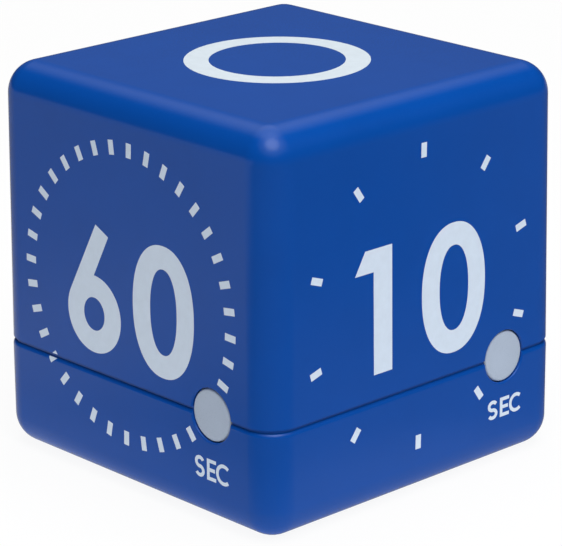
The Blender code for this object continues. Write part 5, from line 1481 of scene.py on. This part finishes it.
def make_world():
    """Soft light from all round; gloss meets dark walls and the glow of lamps overhead."""
    world = bpy.data.worlds.new("studio")
    bpy.context.scene.world = world
    world.use_nodes = True
    world.cycles.sampling_method = "NONE"
    nodes, links = world.node_tree.nodes, world.node_tree.links
    light = nodes["Background"]
    gloss, seen = nodes.new("ShaderNodeBackground"), nodes.new("ShaderNodeBackground")
    for background in (light, gloss, seen):
        background.inputs["Color"].default_value = (1, 1, 1, 1)
    place = nodes.new("ShaderNodeTexCoord").outputs["Generated"]
    light.inputs["Strength"].default_value = WORLD_LIGHT
    glow = glow_round(nodes, links, place, KEY_GLOW, 28, 6, 2.0)
    for direction, edge, core, level in ((KEY_GLOW, 50, 22, 0.6), (BACK_GLOW, 41, 8, 0.85),
                                         (REAR_GLOW, 40, 10, 0.1)):
        patch = glow_round(nodes, links, place, direction, edge, core, level)
        glow = reckon(nodes, links, "ADD", glow, patch)
    links.new(reckon(nodes, links, "ADD", glow, WALL_GLOW), gloss.inputs["Strength"])
    in_gloss = ray_switch(nodes, links, ["Is Glossy Ray"])
    lit = mix_shaders(nodes, links, in_gloss, light.outputs["Background"], gloss.outputs["Background"])
    direct = ray_switch(nodes, links, ["Is Camera Ray", "Is Transmission Ray"])
    links.new(mix_shaders(nodes, links, direct, lit, seen.outputs["Background"]),
              nodes["World Output"].inputs["Surface"])


bpy.context.scene.view_settings.view_transform = "Standard"
make_camera()
make_floor()
make_world()
for lamp_name, lamp_direction, lamp_distance, lamp_width, lamp_power in (
        ("key_softbox", (0.47, -0.29, 0.83), 1.0, 0.60, 7.1),
        ("back_softbox", BACK_GLOW, 1.2, 0.85, 1.1),
        ("roof_softbox", (0, 0, 1), 1.2, 0.80, 7.2),
        ("side_softbox", (0.68, 0.36, 0.64), 1.2, 0.80, 3.1)):
    make_softbox(lamp_name, lamp_direction, lamp_distance, lamp_width, lamp_power)

blue = make_finish("moulded_blue_plastic", (2, 68, 152), 0.18, shade=0.03, patch=90, grain=5200,
                   bump=0.006, Specular_IOR_Level=0.5)
ink = make_finish("pale_print", (198, 211, 227), 0.5, shade=0.03, patch=600, grain=6000, bump=0.004,
                  Specular_IOR_Level=0.2)
ring_ink = make_finish("ring_print", (197, 207, 215), 0.5, shade=0.03, patch=600, grain=6000,
                       bump=0.004, Specular_IOR_Level=0.2)
milky = make_finish("milky_lens_plastic", (163, 176, 195), 0.3, shade=0.03, patch=160, grain=5200,
                    bump=0.003, Specular_IOR_Level=0.4)
clear_epoxy = make_finish("clear_lamp_epoxy", (225, 232, 236), 0.1, shade=0.02, grain=3000, bump=0.002,
                          Transmission_Weight=0.7)
tin = make_finish("tinned_wire", (196, 196, 192), 0.28, metallic=1.0, grain=4000, bump=0.004)
nickel = make_finish("nickel_plate", (206, 203, 194), 0.22, metallic=1.0, grain=5000, bump=0.004,
                     patch=300)
zinc = make_finish("zinc_plate", (186, 188, 192), 0.32, metallic=1.0, grain=3600, bump=0.006, patch=500)
steel = make_finish("bright_ball_steel", (214, 215, 217), 0.08, metallic=1.0, shade=0.03, grain=2000,
                    bump=0.001)
shield = make_finish("brushed_switch_steel", (170, 172, 176), 0.34, metallic=1.0, grain=1600,
                     bump=0.006, stretch=(1, 9, 9))
aluminium = make_finish("capacitor_aluminium", (198, 200, 203), 0.3, metallic=1.0, grain=4200,
                        bump=0.005)
white_plastic = make_finish("white_slider_plastic", (226, 229, 233), 0.4, shade=0.03, grain=4800,
                            bump=0.005, Specular_IOR_Level=0.35)
black_plastic = make_finish("moulded_black_plastic", (34, 35, 38), 0.45, shade=0.12, grain=4200,
                            bump=0.008, Specular_IOR_Level=0.4)
chip_epoxy = make_finish("chip_epoxy", (40, 40, 43), 0.55, shade=0.1, grain=6000, bump=0.01)
sleeve_film = make_finish("capacitor_sleeve_film", (34, 38, 66), 0.28, shade=0.1, grain=900, bump=0.006)
jacket_film = make_finish("cell_jacket_film", (42, 47, 55), 0.24, shade=0.1, patch=120, grain=1400,
                          bump=0.006)
band_film = make_finish("cell_band_film", (126, 131, 138), 0.26, patch=120, grain=1400, bump=0.006)
mark_ink = make_finish("cell_mark_ink", (232, 232, 228), 0.4, shade=0.03, grain=3000, bump=0.004)
window_plastic = make_finish("clear_window_plastic", (240, 244, 246), 0.06, shade=0.02, grain=1500,
                             bump=0.001, Transmission_Weight=0.95)
mask_ink = make_finish("display_mask_ink", (24, 25, 28), 0.35, shade=0.1, grain=5000, bump=0.003)
display_glass = make_finish("display_glass_edge", (150, 164, 156), 0.12, shade=0.04, grain=1200,
                            bump=0.001, Transmission_Weight=0.35)
display_film = make_finish("display_reflector_film", (190, 199, 184), 0.35, shade=0.04, grain=7000,
                           bump=0.003)
display_ink = make_finish("display_segment_ink", (22, 26, 26), 0.4, shade=0.08, grain=5000, bump=0.002)
solder = make_finish("solder_tin", (190, 191, 190), 0.24, metallic=1.0, patch=900, grain=5200,
                     bump=0.01)
board_resist = make_board_finish()
amber_flex = make_flex_finish()

make_upper_housing(blue)
make_base_housing(blue)
make_dials(ink)
make_off_ring(ring_ink)
make_lenses(milky, clear_epoxy, tin)
make_door(blue)
make_display(window_plastic, mask_ink, display_glass, display_film, display_ink)
for cell, nub_end in (("cell_a", 1), ("cell_b", -1)):
    make_cell(cell, nub_end, nickel, jacket_film, band_film, mark_ink)
make_contacts(nickel)
for kind, count in (("case", 4), ("board", 3)):
    for number in range(1, count + 1):
        make_screw("%s_screw_%d" % (kind, number), zinc)
make_thumb_slider(white_plastic)
for letter in "abc":
    make_tilt_switch(letter, nickel, steel)
make_capacitor(sleeve_film, aluminium)
make_chip_legs(tin)
make_solder(solder, chip_epoxy)
refinish(["circuit_board"], board_resist)
refinish(["timer_chip"], chip_epoxy)
refinish(["buzzer", "lcd_frame", "switch_lever", "tilt_plug_a", "tilt_plug_b", "tilt_plug_c"],
         black_plastic)
refinish(["switch_body"], shield)
refinish(["display_flex"], amber_flex)
